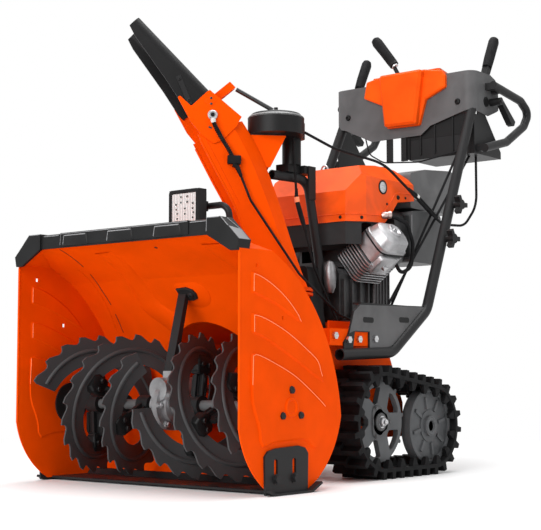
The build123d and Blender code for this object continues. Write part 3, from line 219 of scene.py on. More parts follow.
def raise_grain(tree, source, shader, strength, depth):
    """Bump from a pattern."""
    bump = add(tree, "ShaderNodeBump", Strength=strength, Distance=depth)
    tree.links.new(source, bump.inputs["Height"])
    tree.links.new(bump.outputs["Normal"], shader.inputs["Normal"])


def shaded(colour, factor):
    """Colour made darker or lighter."""
    return tuple(min(1.0, part * factor) for part in colour)


def pattern(parts, kind, **values):
    """New pattern laid out by the coordinates of a finish."""
    tree, _, where = parts
    node = add(tree, f"ShaderNodeTex{kind}", **values)
    tree.links.new(where, node.inputs["Vector"])
    return node


def dress(parts, broad, grain, tones, gloss, bump, stops=TONE_STOPS):
    """Join a broad pattern of tone and gloss, and the bump of a grain, to the parts of a finish."""
    tree, shader, _ = parts
    tone = two_tones(tree, broad.outputs["Fac"], tones, stops)
    tree.links.new(tone, shader.inputs["Base Color"])
    gloss_range(tree, broad.outputs["Fac"], shader, *gloss)
    height = "Distance" if "Distance" in grain.outputs else "Fac"
    raise_grain(tree, grain.outputs[height], shader, *bump)


def powder_coat(name, colour, rough, peel, shine):
    """Sprayed coat: soft clouds of tone and a fine peel."""
    parts = start_finish(name, shine=shine)
    cloud = pattern(parts, "Noise", Scale=7.0, Detail=5.0, Roughness=0.55)
    fine = pattern(parts, "Noise", Scale=peel, Detail=2.0)
    tones = shaded(colour, 0.90), shaded(colour, 1.05)
    dress(parts, cloud, fine, tones, gloss=(rough - 0.05, rough + 0.07), bump=(0.10, 0.0006))


def moulded(name, colour, rough, grain, strength, shine=0.2):
    """Moulded plastic: spark-etched grain and faint flow marks."""
    parts = start_finish(name, shine=shine)
    flow = pattern(parts, "Noise", Scale=11.0, Detail=3.0, Distortion=0.6)
    etched = pattern(parts, "Voronoi", Scale=grain)
    tones = shaded(colour, 0.85), shaded(colour, 1.15)
    dress(parts, flow, etched, tones, gloss=(rough - 0.06, rough + 0.08), bump=(strength, 0.0004))


def cast_metal(name, colour, rough):
    """Sand-cast alloy: pits, dull patches and dark pores."""
    parts = start_finish(name, 0.85, shine=0.5)
    patch = pattern(parts, "Noise", Scale=24.0, Detail=6.0, Roughness=0.65)
    pits = pattern(parts, "Noise", Scale=420.0, Detail=3.0)
    tones = shaded(colour, 0.62), shaded(colour, 1.12)
    dress(parts, patch, pits, tones, gloss=(rough - 0.1, rough + 0.12), bump=(0.25, 0.0008),
          stops=(0.3, 0.7))


def plated(name, colour, rough):
    """Zinc plate with fine drawn lines."""
    tree, shader, where = start_finish(name, 1.0, shine=0.5)
    stretch = add(tree, "ShaderNodeMapping", Scale=(40.0, 40.0, 900.0))
    tree.links.new(where, stretch.inputs["Vector"])
    parts = (tree, shader, stretch.outputs["Vector"])
    drawn = pattern(parts, "Noise", Scale=1.0, Detail=3.0)
    tones = shaded(colour, 0.75), shaded(colour, 1.1)
    dress(parts, drawn, drawn, tones, gloss=(rough - 0.08, rough + 0.1), bump=(0.06, 0.0002))


def rubbery(name, colour, rough):
    """Moulded rubber: dull, with a pale bloom in patches."""
    parts = start_finish(name, shine=0.08)
    bloom = pattern(parts, "Noise", Scale=38.0, Detail=5.0)
    fine = pattern(parts, "Noise", Scale=650.0, Detail=2.0)
    tones = shaded(colour, 0.7), shaded(colour, 1.9)
    dress(parts, bloom, fine, tones, gloss=(rough - 0.08, rough + 0.1), bump=(0.2, 0.0005),
          stops=(0.3, 0.75))


def clear_lens(name):
    """Pale lamp cover with upright flutes."""
    parts = start_finish(name, shine=0.4)
    flutes = pattern(parts, "Wave", Scale=60.0, Distortion=1.5, Detail=2.0)
    tones = (0.36, 0.36, 0.355), (0.70, 0.70, 0.69)
    dress(parts, flutes, flutes, tones, gloss=(0.12, 0.26), bump=(0.3, 0.0006), stops=(0.2, 0.8))


def make_finishes():
    """All finishes of the machine: name, colour and roughness, then fineness, depth of grain and shine."""
    tint = colours()
    # The lighter, glossier orange is a painted highlight for lines along the panel crests
    powder_coat("orange_edge", tint.orange_edge, 0.30, 900.0, 0.3)
    powder_coat("orange_paint", tint.orange, 0.36, 900.0, 0.02)
    moulded("orange_plastic", tint.orange_cover, 0.34, 1500.0, 0.05, 0.2)
    moulded("cover_plastic", shaded(tint.orange_cover, 0.96), 0.38, 1500.0, 0.05, 0.06)
    moulded("black_plastic", tint.black, 0.42, 1300.0, 0.12, 0.14)
    powder_coat("black_paint", tint.black_paint, 0.40, 700.0, 0.14)
    # Painted light: the black paint made three times lighter on the auger, for the highlights and light on
    # the flights
    powder_coat("auger_paint", shaded(tint.black_paint, 3.0), 0.42, 700.0, 0.2)
    moulded("grey_paint", tint.dash, 0.50, 1700.0, 0.16)
    moulded("grey_plastic", tint.grey, 0.46, 1400.0, 0.10)
    # Much darker grey plastic: the engine shroud, which is dark plastic, made darker still as painted shade
    # for its front, and painted shade on the air box's front face
    moulded("shroud_plastic", shaded(tint.grey, 0.32), 0.46, 1400.0, 0.10, 0.1)
    moulded("wheel_plastic", tint.wheel, 0.44, 1200.0, 0.10)
    cast_metal("cast_alloy", tint.alloy, 0.42)
    cast_metal("barrel_alloy", shaded(tint.alloy, 0.55), 0.36)
    cast_metal("dark_alloy", shaded(tint.alloy, 0.18), 0.48)
    plated("bright_steel", tint.steel, 0.28)
    plated("rosy_steel", tint.plug, 0.28)
    plated("dark_steel", shaded(tint.steel, 0.12), 0.36)
    rubbery("track_rubber", tint.rubber, 0.62)
    clear_lens("lens")
    moulded("pale_plastic", tint.pale, 0.40, 1200.0, 0.05)
    moulded("coral_plastic", tint.coral, 0.40, 1200.0, 0.05)
    # Lighter grey finish for painted highlights on the edges of the rail and the air box
    moulded("edge_grey", tint.edge, 0.40, 1200.0, 0.05)
    moulded("cap_grey", tint.cap, 0.34, 1200.0, 0.05, 0.4)
    moulded("tank_grey", tint.tank, 0.46, 1400.0, 0.10)
    # Grey finish for the painted reflection on the black gussets
    moulded("gusset_grey", tint.gusset, 0.50, 1700.0, 0.10, 0.1)


# Nodes with a finish other than the one their slot names
NODE_FINISH = {
    "crankcase": "dark_alloy",
    "dash_cover": "cover_plastic",
    "engine_shroud": "shroud_plastic",
    "fuel_tank": "tank_grey",
    "dash_tray": "black_paint",
    "auger_shaft": "grey_plastic",
    "flights_left": "auger_paint",
    "flights_right": "auger_paint",
    "control_pins": "dark_steel",
    "deflector_spring": "dark_steel",
}


# Mesh helpers
def axes(origin, direction):
    """Matrix whose Z axis is a direction."""
    turn = Vector(direction).to_track_quat("Z", "Y").to_matrix().to_4x4()
    return Matrix.Translation(origin) @ turn


def turned(bm, profile, origin, direction, segments=24):
    """Turned form from pairs of radius and height along a direction, in millimetres."""
    stand = axes(origin, direction)
    rings = []
    for radius, height in profile:
        if not radius:
            rings.append([bm.verts.new(stand @ Vector((0.0, 0.0, height / 1000.0)))])
            continue
        ring = []
        for index in range(segments):
            angle = 2 * pi * index / segments
            spot = Vector((radius * cos(angle), radius * sin(angle), height)) / 1000.0
            ring.append(bm.verts.new(stand @ spot))
        rings.append(ring)
    skin(bm, rings)


def join_rings(bm, low, high):
    """Faces between two rings, or a ring and a point."""
    count = max(len(low), len(high))
    if len(low) == len(high) == 1:
        return
    for index in range(count):
        after = (index + 1) % count
        if len(low) == 1:
            bm.faces.new((low[0], high[index], high[after]))
        elif len(high) == 1:
            bm.faces.new((low[index], high[0], low[after]))
        else:
            bm.faces.new((low[index], low[after], high[after], high[index]))


def skin(bm, rings):
    """Faces between each ring and the next."""
    for low, high in zip(rings, rings[1:]):
        join_rings(bm, low, high)


def join_rows(bm, rows):
    """Faces between each open row of points and the next."""
    for low, high in zip(rows, rows[1:]):
        for index in range(len(low) - 1):
            bm.faces.new((low[index], low[index + 1], high[index + 1], high[index]))


def swept(bm, points, radii, segments=12):
    """Round tube along points, with one radius or one per point, in metres."""
    if not isinstance(radii, (list, tuple)):
        radii = [radii] * len(points)
    rings = []
    side = None
    for index, point in enumerate(points):
        before = points[max(index - 1, 0)]
        after = points[min(index + 1, len(points) - 1)]
        way = (after - before).normalized()
        if side is None:
            side = way.orthogonal().normalized()
        side = (side - way * side.dot(way)).normalized()
        other = way.cross(side)
        ring = []
        for step in range(segments):
            angle = 2 * pi * step / segments
            ring.append(bm.verts.new(point + (side * cos(angle) + other * sin(angle)) * radii[index]))
        rings.append(ring)
    skin(bm, rings)
    bm.faces.new(list(reversed(rings[0])))
    bm.faces.new(rings[-1])


def tube(bm, stations, place=at, segments=12):
    """Round bar through stations of three places and a radius, in millimetres."""
    points = [place(*station[:3]) for station in stations]
    swept(bm, points, [station[3] / 1000.0 for station in stations], segments)


def smooth_line(points, steps=8):
    """Rounded line through points."""
    line = []
    for index in range(len(points) - 1):
        p0 = points[max(index - 1, 0)]
        p1 = points[index]
        p2 = points[index + 1]
        p3 = points[min(index + 2, len(points) - 1)]
        for step in range(steps):
            t = step / steps
            line.append(0.5 * (2 * p1 + (p2 - p0) * t + (2 * p0 - 5 * p1 + 4 * p2 - p3) * t * t
                               + (3 * p1 - p0 - 3 * p2 + p3) * t ** 3))
    line.append(points[-1])
    return line


def walk(line, shares):
    """Places and directions at shares of the length of a line."""
    lengths = [0.0]
    for before, after in zip(line, line[1:]):
        lengths.append(lengths[-1] + (after - before).length)
    places = []
    for share in shares:
        wanted = share * lengths[-1]
        index = 0
        while index < len(line) - 2 and lengths[index + 1] < wanted:
            index += 1
        before, after = line[index:index + 2]
        step = (wanted - lengths[index]) / (lengths[index + 1] - lengths[index])
        places.append((before.lerp(after, min(step, 1.0)), (after - before).normalized()))
    return places


def around(centre, radius, count):
    """Places on a circle about an axis along X, as pairs of Y and Z."""
    turns = [2 * pi * step / count for step in range(count)]
    return [(centre[0] + radius * cos(turn), centre[1] + radius * sin(turn)) for turn in turns]


def piece(name, bm, finish, body=ROOT, crease=35.0):
    """Object from a mesh, riding on a body, with its finish as material."""
    bmesh.ops.recalc_face_normals(bm, faces=bm.faces)
    mesh = bpy.data.meshes.new(name)
    bm.to_mesh(mesh)
    bm.free()
    for polygon in mesh.polygons:
        polygon.use_smooth = True
    mesh.set_sharp_from_angle(angle=radians(crease))
    mesh.materials.append(FINISHES[finish])
    thing = bpy.data.objects.new(name, mesh)
    bpy.context.scene.collection.objects.link(thing)
    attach(thing, body)


TREES = {}


def cast(node, origin, direction):
    """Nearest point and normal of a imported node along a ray."""
    if node not in TREES:
        mesh = NODES[node].data
        corners = [vertex.co for vertex in mesh.vertices]
        TREES[node] = BVHTree.FromPolygons(corners, [tuple(face.vertices) for face in mesh.polygons])
    spot, normal, _, _ = TREES[node].ray_cast(origin, direction)
    if spot is None:
        raise RuntimeError(f"no surface of {node} along the ray")
    if normal.dot(direction) > 0:
        normal = -normal
    return spot, normal


def strip(bm, left, right, lift, edge=0.2, sink=-0.2):
    """Raised band between two lines of points with normals."""
    rows = []
    for (a, na), (b, nb) in zip(left, right):
        row = []
        for share, height in ((0.0, sink), (edge, 1.0), (0.5, 1.0), (1.0 - edge, 1.0), (1.0, sink)):
            spot = a.lerp(b, share)
            normal = na.lerp(nb, share).normalized()
            row.append(bm.verts.new(spot + normal * lift * height))
        rows.append(row)
    join_rows(bm, rows)


# Bolts and screws, as pairs of radius and height in shares of the head's radius
WASHER = ((1.28, 0.16), (0.0, 0.16))
WASHER_SINK = (1.28, -0.3)
BOLT_HEAD = ((0.0, 0.1), (1.0, 0.1), (1.0, 0.62), (0.86, 0.78), (0.0, 0.78))
SCREW_HEAD = ((1.0, 0.18), (0.82, 0.5), (0.45, 0.66), (0.40, 0.30), (0.0, 0.30))
SCREW_SINK = (1.0, -0.4)


def scaled(profile, radius, sink=None):
    """Profile in shares of a radius, with a first pair whose height stays in millimetres."""
    start = [(sink[0] * radius, sink[1])] if sink else []
    return start + [(reach * radius, height * radius) for reach, height in profile]


def hex_bolt(bm, origin, direction, radius):
    """Washer and hexagon head standing on a face."""
    turned(bm, scaled(WASHER, radius, WASHER_SINK), origin, direction, segments=20)
    turned(bm, scaled(BOLT_HEAD, radius), origin, direction, segments=6)


def dome_screw(bm, origin, direction, radius):
    """Domed screw head with a socket."""
    turned(bm, scaled(SCREW_HEAD, radius, SCREW_SINK), origin, direction, segments=18)


def facing(loop, normal):
    """Closed loop that runs anticlockwise about a normal."""
    area = Vector((0.0, 0.0, 0.0))
    for index, point in enumerate(loop):
        area += loop[index - 1].cross(point)
    return list(loop) if area.dot(normal) > 0 else list(reversed(loop))


MITRE_LIMIT = 0.5


def inset(loop, normal, distance):
    """Closed loop moved in by a distance in its own plane."""
    moved = []
    for index, point in enumerate(loop):
        before = (point - loop[index - 1]).normalized()
        after = (loop[(index + 1) % len(loop)] - point).normalized()
        inward = normal.cross(before) + normal.cross(after)
        moved.append(point + inward.normalized() * distance / max(MITRE_LIMIT, inward.length / 2))
    return moved


def pressed(bm, loop, normal, profile, capped=True):
    """Raised form over a closed loop, from pairs of inset and height in millimetres."""
    loop = facing(loop, normal)
    rings = []
    for share, height in profile:
        ring = inset(loop, normal, share / 1000.0)
        rings.append([bm.verts.new(spot + normal * height / 1000.0) for spot in ring])
    skin(bm, rings)
    if capped:
        bm.faces.new(rings[-1])


def rounded_box(across, along, radius, steps=5):
    """Pairs of places around a rounded rectangle about the origin, in millimetres."""
    points = []
    for turn, (sx, sy) in enumerate(((1, 1), (-1, 1), (-1, -1), (1, -1))):
        for step in range(steps + 1):
            angle = radians(90.0 * turn + 90.0 * step / steps)
            x = sx * (across / 2 - radius) + radius * cos(angle)
            y = sy * (along / 2 - radius) + radius * sin(angle)
            points.append((x, y))
    return points


def tapered(bm, sections, origin, direction, side):
    """Rounded block from sections of height, across, along and corner radius, in millimetres."""
    across = Vector(side).normalized()
    along = Vector(direction).cross(across)
    rings = []
    for height, wide, deep, radius in sections:
        ring = []
        for x, y in rounded_box(wide, deep, radius):
            ring.append(bm.verts.new(origin + (direction * height + across * x + along * y) / 1000.0))
        rings.append(ring)
    skin(bm, rings)
    bm.faces.new(rings[-1])
    bm.faces.new(list(reversed(rings[0])))


# Pieces
class SNOW_OT_finish_nodes(bpy.types.Operator):
    """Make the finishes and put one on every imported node"""

    bl_idname = "snow_blower.finish_nodes"
    bl_label = "Finish the nodes"

    def execute(self, context):
        make_finishes()
        slots = {entry["node"]: entry["material_slot"] for entry in frame["record"]["subparts"]}
        for name, node in NODES.items():
            finish = NODE_FINISH.get(name, slots[name])
            node.data.materials.clear()
            node.data.materials.append(FINISHES[finish])
        return {"FINISHED"}


# Intake, with places given as a distance across and an angle about the auger from the rear to the top
BAND_INNER = ((-84, 108.7), (-82, 101.8), (-96, 90.8), (-99, 79.9), (-90, 75.0), (-63, 68.9))
BAND_OUTER = ((-141, 108.3), (-143, 98.7), (-160, 85.1), (-167, 73.7), (-156, 68.7), (-106, 56.7))
BAND_MIRROR = 55.0
BAND_EDGE = 0.12
# Black strips and a black disc on the wall are painted shade for the dark inside of slits and a small hole
SLITS = (((-223, 112.4), (-226, 108.0), (-234, 100.8)), ((-242, 96.0), (-257, 86.5), (-263, 76.5)),
         ((-268, 70.6), (-273, 57.7)))
SLIT_HALF = 1.3
SLIT_LIFT = 0.0005
END_BEAD = ((-264, 99.0), (-280, 80.0), (-298, 58.0))
END_BEAD_HALF = 5.0
END_BEAD_LIFT = 0.0016
BRACE_TAB = ((-12, 84.5), (20, 85.0), (36, 83.5), (40, 81.0), (36, 78.5), (20, 77.5), (-12, 78.0))
BRACE_TAB_TOP = 6.5
BRACE_TAB_FORM = ((0, 0), (0, 5.0), (2, BRACE_TAB_TOP))
BRACE_PAD = ((50, -3.0), (49, 0.6), (45, 2.0), (0, 2.0))
BRACE_BOLT = (26, 81.2)
BRACE_BOLT_RADIUS = 8.0
ROOF_HOLE = (61, 108.6)
ROOF_HOLE_FORM = ((4, -0.5), (4, 0.4), (0, 0.4))


def intake_wall(x, angle):
    """Point and normal of the intake wall."""
    way = Vector((0.0, cos(radians(angle)), sin(radians(angle))))
    return cast("housing_shell", at(x, AUGER[1], AUGER[2]), way)


def intake_line(points, mirror=False):
    """Points and normals along a rounded line on the intake wall."""
    line = smooth_line([Vector((x, angle, 0.0)) for x, angle in points])
    return [intake_wall(2 * BAND_MIRROR - spot.x if mirror else spot.x, spot.y) for spot in line]


def thin_line(bm, points, half, lift):
    """Narrow band along a line on the intake wall."""
    left = intake_line([(x - half, angle) for x, angle in points])
    right = intake_line([(x + half, angle) for x, angle in points])
    strip(bm, left, right, lift)


class SNOW_OT_intake(bpy.types.Operator):
    """Pressed bands, black strips and a black disc as painted shade in slits and a hole, and the brace foot
    on the intake wall
    """

    bl_idname = "snow_blower.intake"
    bl_label = "Intake"

    def execute(self, context):
        height = sizes().band
        bm = bmesh.new()
        for mirror in (False, True):
            strip(bm, intake_line(BAND_INNER, mirror), intake_line(BAND_OUTER, mirror), height, BAND_EDGE)
        thin_line(bm, END_BEAD, END_BEAD_HALF, END_BEAD_LIFT)
        spot, normal = intake_wall(*BRACE_BOLT)
        turned(bm, BRACE_PAD, spot, normal, segments=48)
        piece("intake_bands", bm, "orange_paint")
        bm = bmesh.new()
        # Painted shade for the slits and the hole
        for points in SLITS:
            thin_line(bm, points, SLIT_HALF, SLIT_LIFT)
        turned(bm, ROOF_HOLE_FORM, *intake_wall(*ROOF_HOLE), segments=14)
        piece("intake_slits", bm, "black_paint")
        bm = bmesh.new()
        pressed(bm, [intake_wall(*place)[0] for place in BRACE_TAB], normal, BRACE_TAB_FORM)
        dome_screw(bm, spot + normal * BRACE_TAB_TOP / 1000.0, normal, BRACE_BOLT_RADIUS)
        piece("brace_foot", bm, "black_paint")
        return {"FINISHED"}


# Side plates, with the upper and lower edge of each pressed panel as a distance from the front and a height
PANELS = (
    (((38, 466), (62, 462), (104, 446), (150, 420), (189, 388), (213, 360)),
     ((38, 422), (80, 411), (121, 398), (177, 374), (213, 360))),
    (((37, 380), (66, 377), (115, 362), (166, 341), (224, 310), (262, 286), (274, 262), (286, 236)),
     ((38, 338), (82, 326), (143, 300), (200, 274), (262, 244), (286, 236))),
    (((37, 290), (52, 298), (115, 279), (183, 252), (247, 214), (288, 186), (295, 172)),
     ((38, 236), (41, 190), (62, 140), (68, 103), (93, 105), (115, 110), (200, 112), (223, 108), (238, 97),
      (256, 90), (271, 108), (289, 143), (295, 172))),
)
PANEL_SHARES = (0.0, 0.022, 0.06, *(0.06 + 0.88 * step / 22 for step in range(1, 22)), 0.94, 0.978, 1.0)
PANEL_STEPS = 12
PANEL_BEVEL = 0.0042
PANEL_BEVEL_LIMIT = 0.45
PANEL_LEAST = 0.0001
PANEL_TAPER = 0.014
PANEL_SINK = -0.0002
PANEL_INNER = 0.5
# Radius of the lighter orange lines along the panel crests, which are painted highlights
PANEL_HIGHLIGHT = 0.0008
PLATE_BOLTS = ((167, 221), (137, 166), (198, 166))
PLATE_BOLT_STAND = 4.0
PLATE_BOLT_RADIUS = 7.5
BEARING_RING = ((22, 0.0), (21.5, 6.0), (19, 7.6), (15, 7.0), (13.5, 4.8), (0, 4.8))
PLATE_HEM = (140, 260, 400, 505)
PLATE_HEM_INSET = 1.5
PLATE_HEM_RADIUS = 0.0026
SCRAPER_LIP = ((226, 8.6), (240, 8.6), (246, 17), (240, 23), (233, 15))
SCRAPER_LIP_HALF = HALF_WIDTH - SHEET - 0.5


def pressed_panel(bm, upper, lower, normal, height):
    """Raised panel with steep edges between an upper and a lower line; gives back its crest."""
    high, low = (walk(smooth_line(line, PANEL_STEPS), PANEL_SHARES) for line in (upper, lower))
    rows = []
    crest = []
    for index, ((a, _), (b, _)) in enumerate(zip(high, low)):
        width = (b - a).length
        edge = min(PANEL_BEVEL / max(width, PANEL_LEAST), PANEL_BEVEL_LIMIT)
        lift = height * min(1.0, width / PANEL_TAPER)
        if index in (0, len(PANEL_SHARES) - 1):
            lift = 0.0
        row = []
        for share, level in ((0.0, 0.0), (edge, lift), (0.5, lift), (1.0 - edge, lift), (1.0, 0.0)):
            row.append(bm.verts.new(a.lerp(b, share) + normal * level + normal * PANEL_SINK))
        rows.append(row)
        crest.append((row[1].co.copy(), row[3].co.copy()))
    join_rows(bm, rows)
    return crest[1:-2]


class SNOW_OT_side_plates(bpy.types.Operator):
    """Pressed leaf panels with painted highlight lines along their crests, bearing rings, bolts and edge hems
    of the side plates, and the scraper's lip
    """

    bl_idname = "snow_blower.side_plates"
    bl_label = "Side plates"

    def execute(self, context):
        height = sizes().panel
        faces = ((HALF_WIDTH, 1, height), (HALF_WIDTH - SHEET, -1, PANEL_INNER * height))
        bm = bmesh.new()
        edges = bmesh.new()
        for side in SIDES:
            for panel in PANELS:
                for face, way, lift in faces:
                    lines = [[at(side * face, y, z) for y, z in edge] for edge in panel]
                    crest = pressed_panel(bm, *lines, LEFT * side * way, lift)
                    # Painted highlights: lighter orange lines along the left ends of the panels, and along
                    # their upper edges on the outer faces
                    swept(edges, crest[0], PANEL_HIGHLIGHT, segments=6)
                    if way == 1:
                        swept(edges, [high for high, low in crest], PANEL_HIGHLIGHT, segments=6)
            turned(bm, BEARING_RING, at(side * HALF_WIDTH, *AUGER[1:]), LEFT * side, segments=32)
            hem = [at(side * (HALF_WIDTH - PLATE_HEM_INSET), PLATE_HEM_INSET, z) for z in PLATE_HEM]
            swept(bm, hem, PLATE_HEM_RADIUS)
        piece("pressed_panels", bm, "orange_paint", crease=25.0)
        piece("panel_edges", edges, "orange_edge")
        bm = bmesh.new()
        for side in SIDES:
            for place in PLATE_BOLTS:
                spot = at(side * (HALF_WIDTH + PLATE_BOLT_STAND), *place)
                dome_screw(bm, spot, LEFT * side, PLATE_BOLT_RADIUS)
        piece("bearing_bolts", bm, "black_paint")
        bm = bmesh.new()
        lip = [at(-SCRAPER_LIP_HALF, *place) for place in SCRAPER_LIP]
        pressed(bm, lip, LEFT, ((0, 0.0), (0, 2.0 * SCRAPER_LIP_HALF)))
        piece("scraper_lip", bm, "black_paint")
        return {"FINISHED"}


# Top rail, with places as a distance across and a height
RAIL_FRONT = -8.0
RAIL_PANELS = (-142.0, 3.0, 148.0)
RAIL_PANEL_FACE = ((-39.5, 550.0), (-36.5, 573.0), (36.5, 573.0), (38.5, 550.0))
RAIL_PANEL_FORM = ((-2, -2.0), (0, 0.4), (1.5, 1.0))
# The lighter grey lines along the rail's panels and steps are painted highlights on their edges
RAIL_PANEL_LINE = ((-39.0, 551.5), (-36.0, 572.0), (35.5, 572.0))
RAIL_PANEL_LINE_Y = RAIL_FRONT - 0.6
RAIL_PANEL_LINE_RADIUS = 0.0013
RAIL_LINES = (((-194, 551), (-192, 577), (206, 577)), ((-250, 574), (-200, 574)), ((214, 574), (260, 574)),
              ((262, 552), (263, 580), (298, 580)), ((-300, 580), (-263, 580)))
RAIL_LINE_RADIUS = 0.0009
RAIL_STEP_X = 255.0
RAIL_STEP = 2.0
# The lighter grey facet and lines on each corner plate are painted highlights
RAIL_FACET = ((321, -6, 560), (326, 30, 555), (351, 30, 530), (351, -6, 530))
RAIL_FACET_FORM = ((0, -0.4), (1.2, 0.9), (3, 1.2))
RAIL_RIDGES = (((301, -7, 580.5), (321, -7, 560.5)), ((303, 12, 578.8), (327, 26, 554.8)))
RAIL_RIDGE_RADIUS = 0.0011


class SNOW_OT_top_rail(bpy.types.Operator):
    """Low panels of the top rail, painted highlight lines along its edges, and a painted highlight facet and
    lines on the corner plates
    """

    bl_idname = "snow_blower.top_rail"
    bl_label = "Top rail"

    def execute(self, context):
        blocks = bmesh.new()
        edges = bmesh.new()
        for x in RAIL_PANELS:
            face = [at(x + across, RAIL_FRONT, z) for across, z in RAIL_PANEL_FACE]
            pressed(blocks, face, FRONT, RAIL_PANEL_FORM)
            line = [at(x + across, RAIL_PANEL_LINE_Y, z) for across, z in RAIL_PANEL_LINE]
            swept(edges, line, RAIL_PANEL_LINE_RADIUS, segments=8)
        for line in RAIL_LINES:
            depth = RAIL_FRONT if abs(line[0][0]) > RAIL_STEP_X else RAIL_FRONT + RAIL_STEP
            swept(edges, [at(x, depth, z) for x, z in line], RAIL_LINE_RADIUS, segments=8)
        piece("rail_panels", blocks, "black_plastic")
        for side in SIDES:
            slope = Vector((side, 0.0, 1.0)).normalized()
            pressed(edges, points_at(RAIL_FACET, side), slope, RAIL_FACET_FORM)
            for ridge in RAIL_RIDGES:
                swept(edges, points_at(ridge, side), RAIL_RIDGE_RADIUS, segments=8)
        piece("rail_edges", edges, "edge_grey")
        return {"FINISHED"}


# Auger, with the phase of the first flight of each side in degrees
FLIGHT_PITCH = 252.0
FLIGHT_START = 22.0
FLIGHT_LENGTH = 276.0
FLIGHT_THICK = 4.0
PHASE = {1: 174.0 - (142.0 - FLIGHT_START) / FLIGHT_PITCH * 360,
         -1: 195.0 - (69.0 - FLIGHT_START) / FLIGHT_PITCH * 360}
BEAD_RADIUS = 128.0
BEAD_STEPS = 72
BEAD_MARGIN = 0.01
ARM_BRACKET = ((70, 34, 24, 5), (78, 46, 29, 6), (104, 46, 29, 6), (114, 32, 20, 6))
ARM_PLATES = {78.0: 40.0, 164.0: 74.0, 250.0: 66.0}
ARM_PLATE_FORM = ((21, -8.0), (62, 0.0), (76, -16.0))
ARM_PLATE_SHEET = (9, 2)
ARM_RIBS = (-0.36, 0.0, 0.36)
ARM_RIB_REACH = (0.022, 0.068)
ARM_RIB_STAND = 0.0045
ARM_RIB_RADIUS = 0.0040
ARM_BOLT_REACH = 0.093
ARM_BOLT_STEP = 0.011
ARM_BOLT_STAND = 0.0145
ARM_BOLT_RADIUS = 5.5
GEAR_BOLTS = 6
GEAR_BOLT_CIRCLE = 50.0
GEAR_BOLT_X = 12.0
GEAR_BOLT_RADIUS = 5.5


def flight_spot(side, start, share):
    """Point of a flight's sheet under its bead."""
    reach = FLIGHT_LENGTH * share
    angle = radians(PHASE[side] + start + reach / FLIGHT_PITCH * 360)
    x = side * (FLIGHT_START + reach + FLIGHT_THICK / 2)
    return at(x, AUGER[1] + BEAD_RADIUS * cos(angle), AUGER[2] + BEAD_RADIUS * sin(angle))


class SNOW_OT_auger(bpy.types.Operator):
    """Beads of the flights, brackets, ribbed plates and bolts of the arms, and bolts of the gear case"""

    bl_idname = "snow_blower.auger"
    bl_label = "Auger"

    def execute(self, context):
        shares = [BEAD_MARGIN + (1.0 - 2 * BEAD_MARGIN) * step / BEAD_STEPS for step in range(BEAD_STEPS + 1)]
        bm = bmesh.new()
        for side in SIDES:
            for start in (0.0, 180.0):
                swept(bm, [flight_spot(side, start, share) for share in shares], sizes().bead)
        # The beads take the lighter black paint, which paints the light on the flights
        piece("flight_beads", bm, "auger_paint", "auger")
        meshes = bmesh.new(), bmesh.new(), bmesh.new()
        for side in SIDES:
            for x, wide in ARM_PLATES.items():
                angle = radians(PHASE[side] + (x - FLIGHT_START) / FLIGHT_PITCH * 360)
                middle = at(side * (x + FLIGHT_THICK / 2), *AUGER[1:])
                for end in SIDES:
                    self.arm(meshes, middle, Vector((0.0, end * cos(angle), end * sin(angle))), wide)
        piece("arm_brackets", meshes[0], "black_plastic", "auger")
        piece("arm_plates", meshes[1], "black_plastic", "auger")
        piece("arm_bolts", meshes[2], "dark_steel", "auger")
        bm = bmesh.new()
        for side in SIDES:
            for place in around(AUGER[1:], GEAR_BOLT_CIRCLE, GEAR_BOLTS):
                hex_bolt(bm, at(side * GEAR_BOLT_X, *place), LEFT * side, GEAR_BOLT_RADIUS)
        piece("gear_bolts", bm, "bright_steel")
        return {"FINISHED"}

    def arm(self, meshes, middle, outward, wide):
        """Bracket, ribbed plate and bolts of one arm."""
        blocks, plates, bolts = meshes
        along = LEFT.cross(outward)
        tapered(blocks, ARM_BRACKET, middle, outward, along)
        form = [(reach, wide + trim, *ARM_PLATE_SHEET) for reach, trim in ARM_PLATE_FORM]
        tapered(plates, form, middle, outward, LEFT)
        for rib in ARM_RIBS:
            for face in SIDES:
                foot = middle + LEFT * rib * wide / 1000.0 + along * face * ARM_RIB_STAND
                line = [foot + outward * reach for reach in ARM_RIB_REACH]
                swept(plates, line, ARM_RIB_RADIUS, segments=10)
        for step in (-1, 1):
            foot = middle + outward * ARM_BOLT_REACH + along * step * ARM_BOLT_STEP
            for face in SIDES:
                hex_bolt(bolts, foot + LEFT * face * ARM_BOLT_STAND, LEFT * face, ARM_BOLT_RADIUS)


# Chute and deflector, with places as a distance forward and a height
FRONT_EDGE = ((78, 565), (112, 663), (155, 745), (196, 824))
FRONT_HEM_INSET = 1.5
FRONT_HEM_RADIUS = 0.0032
FRONT_LINE = (-11.5, 5.0)
FRONT_LINE_RADIUS = 0.0013
PIVOT = (167.0, 884.0)
PIVOT_RING = ((10.6, -3.0), (10.6, 1.0), (9.4, 2.2), (6.8, 2.2), (6.0, 0.8), (0, 0.8))
PIVOT_RING_X = CHUTE_SIDE + 10.0
PIVOT_BUTTON = ((5.4, 0.0), (5.2, 1.0), (0, 1.0))
PIVOT_BUTTON_X = CHUTE_SIDE + 10.8
BOOT = ((85, 166, 866), (83.5, 158, 848), (81.5, 144, 824), (80, 130, 803), (80, 119, 782))
BOOT_STEPS = 24
BOOT_RADII = (0.0044, 0.0058, 0.0044)
SLEEVE = ((80, 117, 762, 6.6), (80, 107, 758, 6.2), (80, 97, 734, 4.2))
CLAMP_KNOB = ((8.5, -6.0), (8.5, 6.0), (7.0, 8.0), (3.5, 8.0), (3.0, 6.4), (0, 6.4))
CLAMP_KNOB_PLACE = (CHUTE_SIDE + 6.0, 105.0, 774.0)
